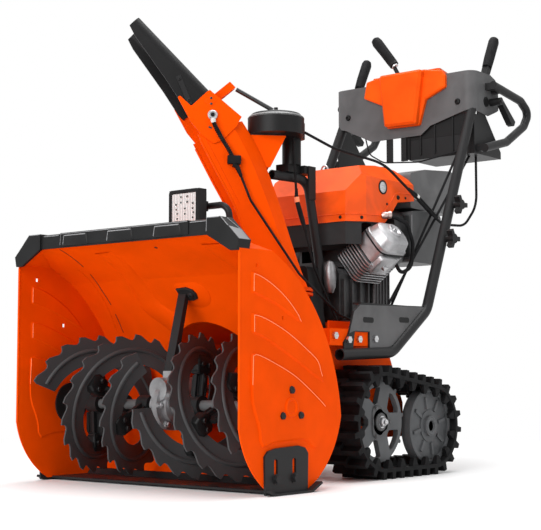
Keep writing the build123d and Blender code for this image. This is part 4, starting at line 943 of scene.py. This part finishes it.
CLAMP_BAND = ((CHUTE_SIDE + 7.0, 124, 777, 7.2), (CHUTE_SIDE + 7.0, 100, 772, 7.2))
FERRULE = ((85.3, 167, 874, 5.0), (85, 166.4, 869.5, 6.2), (84.6, 165, 864, 6.2))
CHEEK_X = CHUTE_SIDE + 4.0
CHEEK_PATCH = ((188, 918), (171, 936), (155, 921), (171, 901))
CHEEK_PATCH_FORM = ((0, -0.2), (1.0, 0.9), (2.0, 1.2))
CHEEK_SCREWS = ((170.4, 926), (170.3, 911.6))
CHEEK_SCREW_STAND = 1.0
CHEEK_SCREW_RADIUS = 3.2
CHEEK_SLOT = ((169, 849.5), (177, 852.5), (176, 857), (168, 854))
CHEEK_SLOT_FORM = ((0, -0.2), (0.2, 0.4))
STRAP = ((250.7, 979), (221, 908))
STRAP_X = CHUTE_SIDE + 1.0
STRAP_HALF = 6.5
STRAP_FORM = ((0, -0.2), (0.3, 1.8), (1.2, 2.6))
STRAP_RIVETS = ((248.5, 971), (225.5, 919))
STRAP_RIVET_STAND = 2.4
STRAP_RIVET_RADIUS = 4.6


def chute_loop(x, points):
    """Points on a plane beside the chute."""
    return [on_chute(x, s, z) for s, z in points]


class SNOW_OT_chute(bpy.types.Operator):
    """Hems, cable boot, clamp, screws and strap of the chute"""

    bl_idname = "snow_blower.chute"
    bl_label = "Chute"

    def execute(self, context):
        self.sheet_edges()
        self.cable()
        self.deflector()
        return {"FINISHED"}

    def sheet_edges(self):
        """Rolled front edges with a pressed line beside them."""
        bm = bmesh.new()
        back, up = FRONT_LINE
        beside = [(s + back, z + up) for s, z in FRONT_EDGE[1:]]
        for side in SIDES:
            edge = chute_loop(side * (CHUTE_SIDE - FRONT_HEM_INSET), FRONT_EDGE)
            swept(bm, smooth_line(edge), FRONT_HEM_RADIUS)
            swept(bm, smooth_line(chute_loop(side * CHUTE_SIDE, beside)), FRONT_LINE_RADIUS, segments=8)
        piece("chute_hems", bm, "orange_paint", "chute_set")

    def cable(self):
        """Pivot ring, ribbed boot, clamp knob, sleeve and ferrule."""
        bm = bmesh.new()
        turned(bm, PIVOT_RING, on_chute(PIVOT_RING_X, *PIVOT), CHUTE_OUT, segments=28)
        piece("pivot_ring", bm, "bright_steel", "chute_set")
        bm = bmesh.new()
        turned(bm, PIVOT_BUTTON, on_chute(PIVOT_BUTTON_X, *PIVOT), CHUTE_OUT, segments=18)
        line = smooth_line([on_chute(*place) for place in BOOT], BOOT_STEPS)
        steps = len(BOOT_RADII) * sizes().boot_rings
        picked = [line[round(step * (len(line) - 1) / steps)] for step in range(steps + 1)]
        swept(bm, picked, [BOOT_RADII[step % len(BOOT_RADII)] for step in range(steps + 1)])
        tube(bm, SLEEVE, on_chute)
        turned(bm, CLAMP_KNOB, on_chute(*CLAMP_KNOB_PLACE), CHUTE_OUT, segments=20)
        tube(bm, CLAMP_BAND, on_chute)
        piece("cable_boot", bm, "track_rubber", "chute_set")
        bm = bmesh.new()
        tube(bm, FERRULE, on_chute)
        piece("cable_ferrule", bm, "pale_plastic", "chute_set")

    def deflector(self):
        """Patch, screws and slot of the cheek, and the riveted strap."""
        bm = bmesh.new()
        pressed(bm, chute_loop(CHEEK_X, CHEEK_PATCH), CHUTE_OUT, CHEEK_PATCH_FORM)
        piece("cheek_patch", bm, "orange_paint", "deflector_set")
        bm = bmesh.new()
        for spot in chute_loop(CHEEK_X + CHEEK_SCREW_STAND, CHEEK_SCREWS):
            dome_screw(bm, spot, CHUTE_OUT, CHEEK_SCREW_RADIUS)
        pressed(bm, chute_loop(CHEEK_X, CHEEK_SLOT), CHUTE_OUT, CHEEK_SLOT_FORM)
        piece("cheek_screws", bm, "dark_steel", "deflector_set")
        bm = bmesh.new()
        top, low = (Vector(place) for place in STRAP)
        along = (low - top).normalized()
        across = Vector((-along.y, along.x)) * STRAP_HALF
        corners = (top + across, top - across, low - across, low + across)
        pressed(bm, chute_loop(STRAP_X, corners), CHUTE_OUT, STRAP_FORM)
        for spot in chute_loop(STRAP_X + STRAP_RIVET_STAND, STRAP_RIVETS):
            dome_screw(bm, spot, CHUTE_OUT, STRAP_RIVET_RADIUS)
        piece("deflector_strap", bm, "black_paint", "deflector_set")


# Turning head and lamp
HEAD_SLEEVE = ((60.4, 559.8, 688, 5.8), (62.4, 566, 668, 6.6), (65.4, 575.4, 640, 6.2), (67.5, 585, 612, 3.6))
HEAD_STEM = ((59.5, 557, 722, 3.6), (59.2, 558, 700, 5.2))
HEAD_FERRULE = ((59.2, 558, 701, 6.8), (60.4, 559.8, 688, 6.8))
HEAD_NUT = ((9, 0.0), (9, 5.0), (7.5, 7.0), (0, 7.0))
HEAD_NUT_PLACE = (CHUTE_AXIS[0] - 26, CHUTE_AXIS[1] + 8, 903.5)
# Dome over the black turning head, in a lighter grey that paints the sheen on its top
CAP_DOME = ((71.4, 892.0), (69.5, 896.5), (62.0, 902.0), (48.0, 907.0), (20.0, 910.5), (5.4, 911.0))
LAMP_FACE = (-16.0, 222.0, 641.5)
LAMP_OUTLINE = (96.5, 97.5, 9)
LAMP_RIM = ((0, -26.0), (0, 1.5), (2, 3.4), (8, 3.4), (9.5, 0.3))
LEDS = ((-10, 31), (10, 31), (-10, 18), (10, 18), (-26, 14), (28, 14), (3, 3), (-25, 2), (28, 2), (3, -10),
        (-22, -8), (30, -8), (-22, -20), (28, -20), (-8, -28), (12, -28))
REFLECTOR = ((4.8, -0.2), (4.5, 1.0), (2.8, 0.4))
DIODE = ((2.9, 0.2), (2.2, 1.2), (0, 1.6))
ROTATION_SLEEVE = ((173, 900, 749, 4.4), (174, 934, 734, 7.2), (178, 1008, 693, 6.8), (181, 1030, 683, 4.0))
ROTATION_RING = ((174, 934, 734, 7.8), (174.6, 942, 729.6, 7.8))


class SNOW_OT_head_and_lamp(bpy.types.Operator):
    """Lighter grey dome on the cap as a painted sheen, cable sleeves at the turning head, and the lamp's
    frame and reflectors
    """

    bl_idname = "snow_blower.head_and_lamp"
    bl_label = "Head and lamp"

    def execute(self, context):
        bm = bmesh.new()
        tube(bm, HEAD_SLEEVE)
        tube(bm, HEAD_STEM)
        turned(bm, HEAD_NUT, at(*HEAD_NUT_PLACE), UP, segments=16)
        piece("head_sleeve", bm, "track_rubber")
        bm = bmesh.new()
        # Painted sheen on the top of the turning head
        turned(bm, CAP_DOME, at(*CHUTE_AXIS, 0.0), UP, segments=64)
        piece("cap_dome", bm, "cap_grey", crease=50.0)
        bm = bmesh.new()
        tube(bm, HEAD_FERRULE)
        piece("head_ferrule", bm, "coral_plastic")
        bm = bmesh.new()
        x, y, z = LAMP_FACE
        outline = [at(x + across, y, z + up) for across, up in rounded_box(*LAMP_OUTLINE)]
        pressed(bm, outline, FRONT, LAMP_RIM, capped=False)
        piece("lamp_frame", bm, "black_plastic", "lamp_set")
        rims = bmesh.new()
        pupils = bmesh.new()
        for across, up in LEDS:
            spot = at(x + across, y, z + up)
            turned(rims, REFLECTOR, spot, FRONT, segments=16)
            turned(pupils, DIODE, spot, FRONT, segments=12)
        piece("lamp_reflectors", rims, "pale_plastic", "lamp_set")
        piece("lamp_diodes", pupils, "dark_steel", "lamp_set")
        bm = bmesh.new()
        tube(bm, ROTATION_SLEEVE)
        piece("rotation_sleeve", bm, "track_rubber")
        bm = bmesh.new()
        tube(bm, ROTATION_RING)
        piece("rotation_ring", bm, "pale_plastic")
        return {"FINISHED"}


# Hood
HOOD_LIP_FRONT = ((-128, 675, 665), (126, 675, 665))
HOOD_LIP_SIDE = ((126, 675, 665), (150.6, 735, 667), (150.6, 802, 670), (150.6, 832, 694), (150.6, 866, 732),
                 (150.6, 890, 739), (150.6, 957, 742))
HOOD_LIP_RADIUS = 0.0016
HOOD_SCREWS = (((110, 676, 657), (0, -1, 0), 4.6), ((144.6, 721.8, 658), (0.926, -0.377, 0), 4.6),
               ((150, 830, 703), (1, 0, 0), 3.6), ((150, 883, 726), (1, 0, 0), 6.2),
               ((150, 919, 728), (1, 0, 0), 3.6))
DISC_PLACE = (150.0, 811.0, 746.0)
DISC_RIM = ((0.0, -0.3), (0.0, 1.6), (2.5, 2.4), (4.5, 1.4), (5.0, 0.6))
EYE_ABOVE = (-12.0, 772.0, 911.0)
EYE_STEPS = 12
EYE_WIDE = 0.011
EYE_HIGH = 0.014
EYE_SINK = 0.002
EYE_RADIUS = 0.0026


class SNOW_OT_hood(bpy.types.Operator):
    """Lip, plain disc, screws and lifting eye of the hood"""

    bl_idname = "snow_blower.hood"
    bl_label = "Hood"

    def execute(self, context):
        bm = bmesh.new()
        for side in SIDES:
            swept(bm, points_at(HOOD_LIP_SIDE, side), HOOD_LIP_RADIUS, segments=8)
        swept(bm, points_at(HOOD_LIP_FRONT), HOOD_LIP_RADIUS, segments=8)
        piece("hood_lip", bm, "orange_plastic", crease=60.0)
        bm = bmesh.new()
        for place, way, radius in HOOD_SCREWS:
            dome_screw(bm, at(*place), Vector(way), radius)
        disc = sizes().disc * 1000.0
        rim = [(disc - trim, height) for trim, height in DISC_RIM]
        turned(bm, rim, at(*DISC_PLACE), LEFT, segments=40)
        piece("hood_screws", bm, "black_plastic")
        bm = bmesh.new()
        face = ((disc - 4.0, 0.3), (disc - 4.6, 1.5), (0.5 * disc, 2.2), (0, 2.4))
        turned(bm, face, at(*DISC_PLACE), LEFT, segments=40)
        spot, _ = cast("hood", at(*EYE_ABOVE), -UP)
        hoop = []
        for step in range(EYE_STEPS + 1):
            turn = pi * step / EYE_STEPS
            hoop.append(spot + Vector((EYE_WIDE * cos(turn), 0.0, EYE_HIGH * sin(turn) - EYE_SINK)))
        swept(bm, hoop, EYE_RADIUS, segments=10)
        piece("hood_disc", bm, "bright_steel")
        return {"FINISHED"}


# Engine, with places on the leaning cylinder as a reach along it, a distance across it and one along Y
CYLINDER_Y = 794.0
CRANK_Z = 466.0
CYLINDER_TILT = radians(38.0)
CYLINDER_AXIS = Vector((cos(CYLINDER_TILT), 0.0, sin(CYLINDER_TILT)))
CYLINDER_LIFT = Vector((-sin(CYLINDER_TILT), 0.0, cos(CYLINDER_TILT)))
COVER = ((213.6, 90, 118, 24), (221, 90, 118, 24), (222.5, 85, 112, 24), (246, 74, 98, 24),
         (251.5, 60, 82, 22))
COVER_GASKET = ((209.5, 93, 121, 25), (213.8, 93, 121, 25))
COVER_BOSS = ((22, 250.0), (21, 255.5), (17, 257.0), (13, 255.0), (10, 252.5), (0, 252.5))
COVER_BOSS_PLACE = (0.0, 6.0, 4.0)
COVER_BOLT = (252.0, 6.0, 4.0)
COVER_BOLT_RADIUS = 6.0
FLANGE = ((-12, 62, 74, 12), (4, 62, 74, 12), (7, 54, 66, 12))
FLANGE_PLACE = (176.0, -50.0, -12.0)
FLANGE_BOLT = (176.0, -57.0, -12.0)
FLANGE_BOLT_RADIUS = 8.0
PLUG = ((8, -6.0), (10, 0.0), (10, 7.0), (8.6, 8.0), (8.6, 11.0), (10, 12.0), (10, 20.0), (7.5, 22.0),
        (0, 22.0))
PLUG_PLACE = (152.0, 812.0, 671.0)
PLUG_WAY = Vector((0.7, 0.65, 0.1)).normalized()
BARREL = ((0, 0.0), (9, 4.0), (15, 18.0), (17, 44.0), (15, 70.0), (9, 84.0), (0, 88.0))
BARREL_PLACE = (86.0, 662.0, 458.0)
REAR_CASE = ((0, 84, 70, 8), (144, 84, 70, 8), (152, 74, 60, 8))
REAR_CASE_PLACE = (68.0, 866.0, 388.0)
REAR_RIB = ((0, 6, 4, 1), (136, 6, 4, 1))
REAR_RIB_PLACES = [(110.0, 838.0 + 14.0 * step, 394.0) for step in range(5)]
# The dark panel on the air box's front face is painted shade, and the lighter line on its corner a painted
# highlight
BOX_FACE = ((52, 568), (150, 568), (153, 574), (153, 678), (150, 684), (52, 684), (49, 678), (49, 574))
BOX_FACE_Y = 935.0
BOX_FACE_FORM = ((0, -1.0), (2, 2.4), (5, 3.0))
BOX_EDGE = ((159.2, 935.8, 566.0), (159.2, 935.8, 684.0))
BOX_EDGE_RADIUS = 0.0014


def on_cylinder(reach, across=0.0, along=0.0):
    """Point at a distance along the leaning cylinder, with offsets across it and along Y."""
    spot = CYLINDER_AXIS * reach + CYLINDER_LIFT * across
    return at(spot.x, CYLINDER_Y + along, CRANK_Z + spot.z)


class SNOW_OT_engine(bpy.types.Operator):
    """Valve cover, gasket, flange, plug, barrel and rear casing of the engine, and painted shade on the air
    box's front face with a painted highlight on its edge
    """

    bl_idname = "snow_blower.engine"
    bl_label = "Engine"

    def execute(self, context):
        bm = bmesh.new()
        tapered(bm, COVER, on_cylinder(0.0), CYLINDER_AXIS, CYLINDER_LIFT)
        turned(bm, COVER_BOSS, on_cylinder(*COVER_BOSS_PLACE), CYLINDER_AXIS, segments=36)
        tapered(bm, FLANGE, on_cylinder(*FLANGE_PLACE), -CYLINDER_LIFT, CYLINDER_AXIS)
        piece("cover_shell", bm, "cast_alloy")
        bm = bmesh.new()
        tapered(bm, COVER_GASKET, on_cylinder(0.0), CYLINDER_AXIS, CYLINDER_LIFT)
        piece("cover_gasket", bm, "black_plastic")
        bm = bmesh.new()
        hex_bolt(bm, on_cylinder(*COVER_BOLT), CYLINDER_AXIS, COVER_BOLT_RADIUS)
        hex_bolt(bm, on_cylinder(*FLANGE_BOLT), -CYLINDER_LIFT, FLANGE_BOLT_RADIUS)
        piece("engine_bolts", bm, "bright_steel")
        bm = bmesh.new()
        turned(bm, PLUG, at(*PLUG_PLACE), PLUG_WAY, segments=20)
        piece("engine_plug", bm, "rosy_steel")
        bm = bmesh.new()
        turned(bm, BARREL, at(*BARREL_PLACE), UP, segments=28)
        piece("engine_barrel", bm, "barrel_alloy")
        bm = bmesh.new()
        tapered(bm, REAR_CASE, at(*REAR_CASE_PLACE), UP, LEFT)
        for place in REAR_RIB_PLACES:
            tapered(bm, REAR_RIB, at(*place), UP, LEFT)
        piece("rear_case", bm, "dark_alloy")
        bm = bmesh.new()
        # Painted shade on the air box's front face, then a painted highlight along its corner
        pressed(bm, [at(x, BOX_FACE_Y, z) for x, z in BOX_FACE], FRONT, BOX_FACE_FORM)
        piece("air_box_face", bm, "shroud_plastic")
        bm = bmesh.new()
        swept(bm, points_at(BOX_EDGE), BOX_EDGE_RADIUS, segments=8)
        piece("air_box_edge", bm, "edge_grey")
        return {"FINISHED"}


# Dash, tray and levers
DASH_SCREWS = ((-190, 1130, 1022), (190, 1130, 1022))
DASH_SCREW_RADIUS = 9.0
WING_HOLE = (239.6, 1202.0, 1026.0)
# Black disc closing each wing hole, painted shade for the dark inside of the hole
WING_HOLE_RIM = ((14.5, 0.4), (14.2, 2.2), (12.4, 2.2), (11.6, 1.8), (0, 1.8))
# Dark plate closing the gap by the handle posts, painted shade where the gap is dark
TRAY_FLAP = ((-2, 874), (24, 874), (24, 938), (-2, 950))
TRAY_FLAP_Y = 1138.0
TRAY_FLAP_FORM = ((0, -2.0), (0.4, 1.0))
TRAY_BACK = ((16, 930), (232, 930), (232, 1010), (150, 1004), (90, 985), (16, 960))
TRAY_BACK_Y = 1141.0
TRAY_BACK_FORM = ((0, -2.0), (0, 1.0), (0.6, 1.6))
TRAY_FOLDS = ((60, 970), (108, 986), (168, 994))
TRAY_FOLD_Y = 1138.6
TRAY_FOLD_FOOT = 884.0
TRAY_FOLD_RADIUS = 0.0030
LEVER_X = 225.0
LEVER_GRIP = ((1236, 1134, 14.0), (1250, 1163, 15.2), (1277, 1217, 15.2), (1281, 1225, 12.5),
              (1283, 1229, 7.0), (1283.6, 1230.4, 1.5))
SPEED_GRIP = ((-45, 1164, 1167, 13.0), (-52, 1163.6, 1176, 14.5), (-80, 1162, 1213, 15.0),
              (-103, 1160, 1243, 16.0), (-110, 1159.6, 1253, 13.0), (-113, 1159.4, 1257, 6.0),
              (-113.6, 1159.4, 1257.8, 1.0))
SPEED_COLLAR = ((-45, 1164, 1167, 10.0), (-42.5, 1164.3, 1162.6, 10.0), (-42, 1164.4, 1161.8, 8.4))


class SNOW_OT_dash(bpy.types.Operator):
    """Screws of the dash, black discs as painted shade in its wing holes, a dark plate as painted shade in
    the gap by the handle posts, the back of its tray, and the grips of the levers
    """

    bl_idname = "snow_blower.dash"
    bl_label = "Dash"

    def execute(self, context):
        bm = bmesh.new()
        for place in DASH_SCREWS:
            dome_screw(bm, at(*place), FRONT, DASH_SCREW_RADIUS)
        # Black discs in the wing holes are painted shade
        x, y, z = WING_HOLE
        for side in SIDES:
            turned(bm, WING_HOLE_RIM, at(side * x, y, z), LEFT * side, segments=28)
        # Dark plate in the gap by the handle posts is painted shade
        pressed(bm, [at(x, TRAY_FLAP_Y, z) for x, z in TRAY_FLAP], FRONT, TRAY_FLAP_FORM)
        pressed(bm, [at(x, TRAY_BACK_Y, z) for x, z in TRAY_BACK], FRONT, TRAY_BACK_FORM)
        for x, top in TRAY_FOLDS:
            swept(bm, [at(x, TRAY_FOLD_Y, z) for z in (TRAY_FOLD_FOOT, top)], TRAY_FOLD_RADIUS)
        piece("dash_screws", bm, "black_plastic")
        for side, body in ((1, "lever_left"), (-1, "lever_right")):
            bm = bmesh.new()
            tube(bm, [(side * LEVER_X, *station) for station in LEVER_GRIP], segments=24)
            piece(f"{body}_grip", bm, "track_rubber", body, crease=60.0)
        bm = bmesh.new()
        tube(bm, SPEED_GRIP, segments=24)
        piece("speed_grip", bm, "track_rubber", "speed", crease=60.0)
        bm = bmesh.new()
        tube(bm, SPEED_COLLAR, segments=24)
        piece("speed_collar", bm, "bright_steel", "speed")
        return {"FINISHED"}


# Wheels, tracks and gussets, with places as a distance from the front and a height
SPROCKET = (619.0, 138.0)
LOBE_X = 266.0
LOBE_STEPS = 36
LOBE_RADIUS = 37.0
LOBE_SWING = 7.0
LOBE_COUNT = 3
LOBE_FORM = ((0, 0.0), (0.5, 2.6), (2.5, 4.0))
LOBE_BOSS = ((22, 3.6), (22, 7.0), (20, 8.5), (0, 8.5))
LOBE_BOLT_X = 270.0
LOBE_BOLT_CIRCLE = 38.0
LOBE_BOLT_RADIUS = 4.5
AXLE_X = 274.0
AXLE_NUT_RADIUS = 11.5
AXLE_END = ((6.5, 8.0), (6.5, 14.0), (5.0, 15.5), (0, 15.5))
REAR_WHEEL = (840.0, 122.0)
REAR_HUB = ((24, 0.0), (24, 6.0), (21, 8.0), (15, 7.0), (13, 2.0), (0, 2.0))
REAR_HUB_X = 270.0
REAR_RIM = ((95, 0.0), (95.4, 2.0), (93, 3.4), (88, 3.2), (85.5, 0.5))
REAR_RIM_X = 269.6
TRACK_RADII = (112.0, 96.0)
TRACK_STEPS = 60
GUIDE_PITCH = 56.0
GUIDE_X = (275.0, 288.5)
GUIDE_FORM = ((13.0, -1.0, 0.0), (6.5, 16.0, 1.0), (4.5, 21.0, 3.0))
GUSSET_X = 248.2
GUSSET_FACE = ((522, 352), (542, 405), (567, 422), (872, 428), (862, 419), (703, 311), (607, 307),
               (607, 358), (544, 358))
GUSSET_FACE_X = GUSSET_X - 0.2
GUSSET_FACE_FORM = ((0, -0.6), (0.2, 0.3))
GUSSET_SLOTS = ((601.0, 386.0), (759.0, 391.0))
GUSSET_SLOT_OUTLINE = (46, 14, 6)
GUSSET_SLOT_FORM = ((0, -0.6), (0.3, 0.4))


def track_inside():
    """Closed line along the inside of the track, as pairs of Y and Z."""
    (y0, z0), (y1, z1) = SPROCKET, REAR_WHEEL
    front, rear = TRACK_RADII
    lean = atan2(z1 - z0, y1 - y0)
    turn = acos((front - rear) / Vector((y1 - y0, z1 - z0)).length)
    spots = []
    for y, z, radius, start, stop in ((y0, z0, front, lean + turn, lean + 2 * pi - turn),
                                      (y1, z1, rear, lean - turn, lean + turn)):
        for step in range(TRACK_STEPS + 1):
            angle = start + (stop - start) * step / TRACK_STEPS
            spots.append(Vector((y + radius * cos(angle), z + radius * sin(angle))))
    return [*spots, spots[0]]


def guide_lugs(bm, side):
    """Wedges along the outer edge inside the track."""
    line = track_inside()
    length = sum((after - before).length for before, after in zip(line, line[1:]))
    count = round(length / GUIDE_PITCH)
    for spot, along in walk(line, [step / count for step in range(count)]):
        inward = Vector((-along.y, along.x))
        rings = []
        for half, height, trim in GUIDE_FORM:
            near, far = GUIDE_X[0] + trim, GUIDE_X[1] - trim
            ring = []
            for x, way in ((near, -1), (far, -1), (far, 1), (near, 1)):
                place = spot + inward * height + along * half * way
                ring.append(bm.verts.new(at(side * x, *place)))
            rings.append(ring)
        skin(bm, rings)
        bm.faces.new(rings[-1])


class SNOW_OT_wheels(bpy.types.Operator):
    """Hubs, bolts and rims of the track wheels, guide lugs of the tracks, and a painted reflection on the
    faces of the gussets
    """

    bl_idname = "snow_blower.wheels"
    bl_label = "Wheels"

    def execute(self, context):
        for side, name in ((1, "left"), (-1, "right")):
            self.sprocket(side, name)
            bm = bmesh.new()
            turned(bm, REAR_HUB, at(side * REAR_HUB_X, *REAR_WHEEL), LEFT * side, segments=32)
            turned(bm, REAR_RIM, at(side * REAR_RIM_X, *REAR_WHEEL), LEFT * side, segments=72)
            piece(f"rear_hub_{name}", bm, "wheel_plastic", f"back_wheel_{name}")
            bm = bmesh.new()
            guide_lugs(bm, side)
            piece(f"track_guides_{name}", bm, "track_rubber")
        bm = bmesh.new()
        for side in SIDES:
            for y, z in GUSSET_SLOTS:
                slot = [at(side * GUSSET_X, y + a, z + b) for a, b in rounded_box(*GUSSET_SLOT_OUTLINE)]
                pressed(bm, slot, LEFT * side, GUSSET_SLOT_FORM)
        piece("gusset_slots", bm, "black_plastic")
        # Grey plates over the black gussets, a painted reflection of the light on them
        bm = bmesh.new()
        for side in SIDES:
            plate = [at(side * GUSSET_FACE_X, *place) for place in GUSSET_FACE]
            pressed(bm, plate, LEFT * side, GUSSET_FACE_FORM)
        piece("gusset_faces", bm, "gusset_grey")
        return {"FINISHED"}

    def sprocket(self, side, name):
        """Lobed plate, boss, bolts and axle end of a front wheel."""
        out = LEFT * side
        y, z = SPROCKET
        bm = bmesh.new()
        lobes = []
        for step in range(LOBE_STEPS):
            angle = 2 * pi * step / LOBE_STEPS
            radius = LOBE_RADIUS + LOBE_SWING * cos(LOBE_COUNT * angle)
            lobes.append(at(side * LOBE_X, y + radius * cos(angle), z + radius * sin(angle)))
        pressed(bm, lobes, out, LOBE_FORM)
        turned(bm, LOBE_BOSS, at(side * LOBE_X, y, z), out, segments=28)
        for place in around(SPROCKET, LOBE_BOLT_CIRCLE, LOBE_COUNT):
            hex_bolt(bm, at(side * LOBE_BOLT_X, *place), out, LOBE_BOLT_RADIUS)
        piece(f"sprocket_hub_{name}", bm, "grey_plastic", f"front_wheel_{name}")
        bm = bmesh.new()
        hex_bolt(bm, at(side * AXLE_X, y, z), out, AXLE_NUT_RADIUS)
        turned(bm, AXLE_END, at(side * AXLE_X, y, z), out, segments=18)
        piece(f"sprocket_bolt_{name}", bm, "bright_steel", f"front_wheel_{name}")


# Stage, in metres
WHITE = (1.0, 1.0, 1.0, 1.0)
FLOOR_SIZE = 14.0
FLOOR_SHADE = 0.985
FLOOR_GLOSS = (0.55, 0.65)
FADE_START = 0.75
FADE_STOP = 1.9
LAMP_AIM = Vector((0.0, 0.0, 0.55))
LAMPS = {
    "key": (3.2, Vector((0.6, -4.6, 1.9))),
    "side": (2.6, Vector((4.2, 0.4, 2.4))),
    "top": (3.0, Vector((0.0, 0.3, 4.2))),
}
CAMERA_PLACE = (2.1, -2.7476, 0.2503)
CAMERA_TURN = (radians(94.8), 0.0, radians(39.2))
SENSOR_WIDTH = 36.0


def combined(tree, operation, first, second):
    """Two values put together by an operation."""
    node = add(tree, "ShaderNodeMath", operation=operation)
    tree.links.new(first, node.inputs[0])
    tree.links.new(second, node.inputs[1])
    return node.outputs["Value"]


def seen_rays(tree):
    """One for rays that show the background: from the camera, in gloss and through glass."""
    path = add(tree, "ShaderNodeLightPath")
    seen = path.outputs["Is Camera Ray"]
    for name in ("Is Glossy Ray", "Is Transmission Ray"):
        seen = combined(tree, "MAXIMUM", seen, path.outputs[name])
    return seen


def mix_surfaces(tree, share, first, second, target):
    """Mix two surfaces by a share into an output node."""
    mix = add(tree, "ShaderNodeMixShader")
    for socket, source in zip(mix.inputs, (share, first, second)):
        tree.links.new(source, socket)
    tree.links.new(mix.outputs["Shader"], tree.nodes[target].inputs["Surface"])


class SNOW_OT_stage(bpy.types.Operator):
    """Set up the floor, the light and the camera"""

    bl_idname = "snow_blower.stage"
    bl_label = "Stage"

    def execute(self, context):
        scene = context.scene
        settings = scene.snow_stage
        scene.view_settings.view_transform = "Standard"
        self.world(scene, settings)
        self.floor(scene, settings)
        for name, (size, place) in LAMPS.items():
            self.lamp(scene, f"{name}_lamp", getattr(settings, name), size, place)
        camera = bpy.data.cameras.new("camera")
        camera.sensor_fit = "HORIZONTAL"
        camera.sensor_width = SENSOR_WIDTH
        camera.lens = settings.lens
        stand = bpy.data.objects.new("camera", camera)
        stand.location = CAMERA_PLACE
        stand.rotation_euler = CAMERA_TURN
        scene.collection.objects.link(stand)
        scene.camera = stand
        return {"FINISHED"}

    def world(self, scene, settings):
        """Even light all around, white where it is seen."""
        world = bpy.data.worlds.new("studio")
        world.use_nodes = True
        tree = world.node_tree
        lit = tree.nodes["Background"]
        lit.inputs["Color"].default_value = WHITE
        lit.inputs["Strength"].default_value = settings.fill
        seen = add(tree, "ShaderNodeBackground", Color=WHITE, Strength=1.0)
        surfaces = lit.outputs["Background"], seen.outputs["Background"]
        mix_surfaces(tree, seen_rays(tree), *surfaces, "World Output")
        scene.world = world

    def floor(self, scene, settings):
        """Pale floor with a faint cloud of tone."""
        parts = start_finish("floor_finish")
        tree, shader, where = parts
        cloud = pattern(parts, "Noise", Scale=1.2, Detail=3.0)
        tones = shaded(settings.floor, FLOOR_SHADE), tuple(settings.floor)
        tree.links.new(two_tones(tree, cloud.outputs["Fac"], tones), shader.inputs["Base Color"])
        gloss_range(tree, cloud.outputs["Fac"], shader, *FLOOR_GLOSS)
        self.fade(tree, shader, where)
        bm = bmesh.new()
        bmesh.ops.create_grid(bm, x_segments=4, y_segments=4, size=FLOOR_SIZE)
        mesh = bpy.data.meshes.new("floor")
        bm.to_mesh(mesh)
        bm.free()
        mesh.materials.append(FINISHES["floor_finish"])
        floor = bpy.data.objects.new("floor", mesh)
        scene.collection.objects.link(floor)

    def fade(self, tree, shader, where):
        """White seen away from the machine, and the shaded floor under it."""
        reach = add(tree, "ShaderNodeVectorMath", operation="LENGTH")
        tree.links.new(where, reach.inputs[0])
        away = add(tree, "ShaderNodeMapRange", From_Min=FADE_START, From_Max=FADE_STOP)
        tree.links.new(reach.outputs["Value"], away.inputs["Value"])
        share = combined(tree, "MULTIPLY", away.outputs["Result"], seen_rays(tree))
        white = add(tree, "ShaderNodeEmission", Color=WHITE, Strength=1.0)
        mix_surfaces(tree, share, shader.outputs["BSDF"], white.outputs["Emission"], "Material Output")

    def lamp(self, scene, name, power, size, place):
        """Large soft lamp aimed at the machine."""
        light = bpy.data.lights.new(name, "AREA")
        light.energy = power
        light.size = size
        stand = bpy.data.objects.new(name, light)
        stand.location = place
        stand.rotation_euler = (LAMP_AIM - place).to_track_quat("-Z", "Y").to_euler()
        scene.collection.objects.link(stand)


class SNOW_PT_panel(bpy.types.Panel):
    """Panel with the operators of the snow blower"""

    bl_idname = "SNOW_PT_panel"
    bl_label = "Snow Blower"
    bl_space_type = "VIEW_3D"
    bl_region_type = "UI"
    bl_category = "Snow Blower"

    def draw(self, context):
        for operator in OPERATORS:
            self.layout.operator(operator.bl_idname)
        for group in (context.scene.snow_colours, context.scene.snow_sizes, context.scene.snow_stage):
            for name in group.__annotations__:
                self.layout.prop(group, name)


OPERATORS = (
    SNOW_OT_finish_nodes, SNOW_OT_intake, SNOW_OT_side_plates, SNOW_OT_top_rail, SNOW_OT_auger, SNOW_OT_chute,
    SNOW_OT_head_and_lamp, SNOW_OT_hood, SNOW_OT_engine, SNOW_OT_dash, SNOW_OT_wheels, SNOW_OT_stage,
)
CLASSES = (SnowColours, SnowSizes, SnowStage, *OPERATORS, SNOW_PT_panel)


def register():
    """Register the classes and settings."""
    for entry in CLASSES:
        bpy.utils.register_class(entry)
    bpy.types.Scene.snow_colours = PointerProperty(type=SnowColours)
    bpy.types.Scene.snow_sizes = PointerProperty(type=SnowSizes)
    bpy.types.Scene.snow_stage = PointerProperty(type=SnowStage)


def unregister():
    """Take the classes and settings away."""
    del bpy.types.Scene.snow_stage
    del bpy.types.Scene.snow_sizes
    del bpy.types.Scene.snow_colours
    for entry in reversed(CLASSES):
        bpy.utils.unregister_class(entry)


def main():
    """Build every piece."""
    register()
    for operator in OPERATORS:
        group, name = operator.bl_idname.split(".")
        getattr(getattr(bpy.ops, group), name)()


if __name__ == "__main__":
    main()
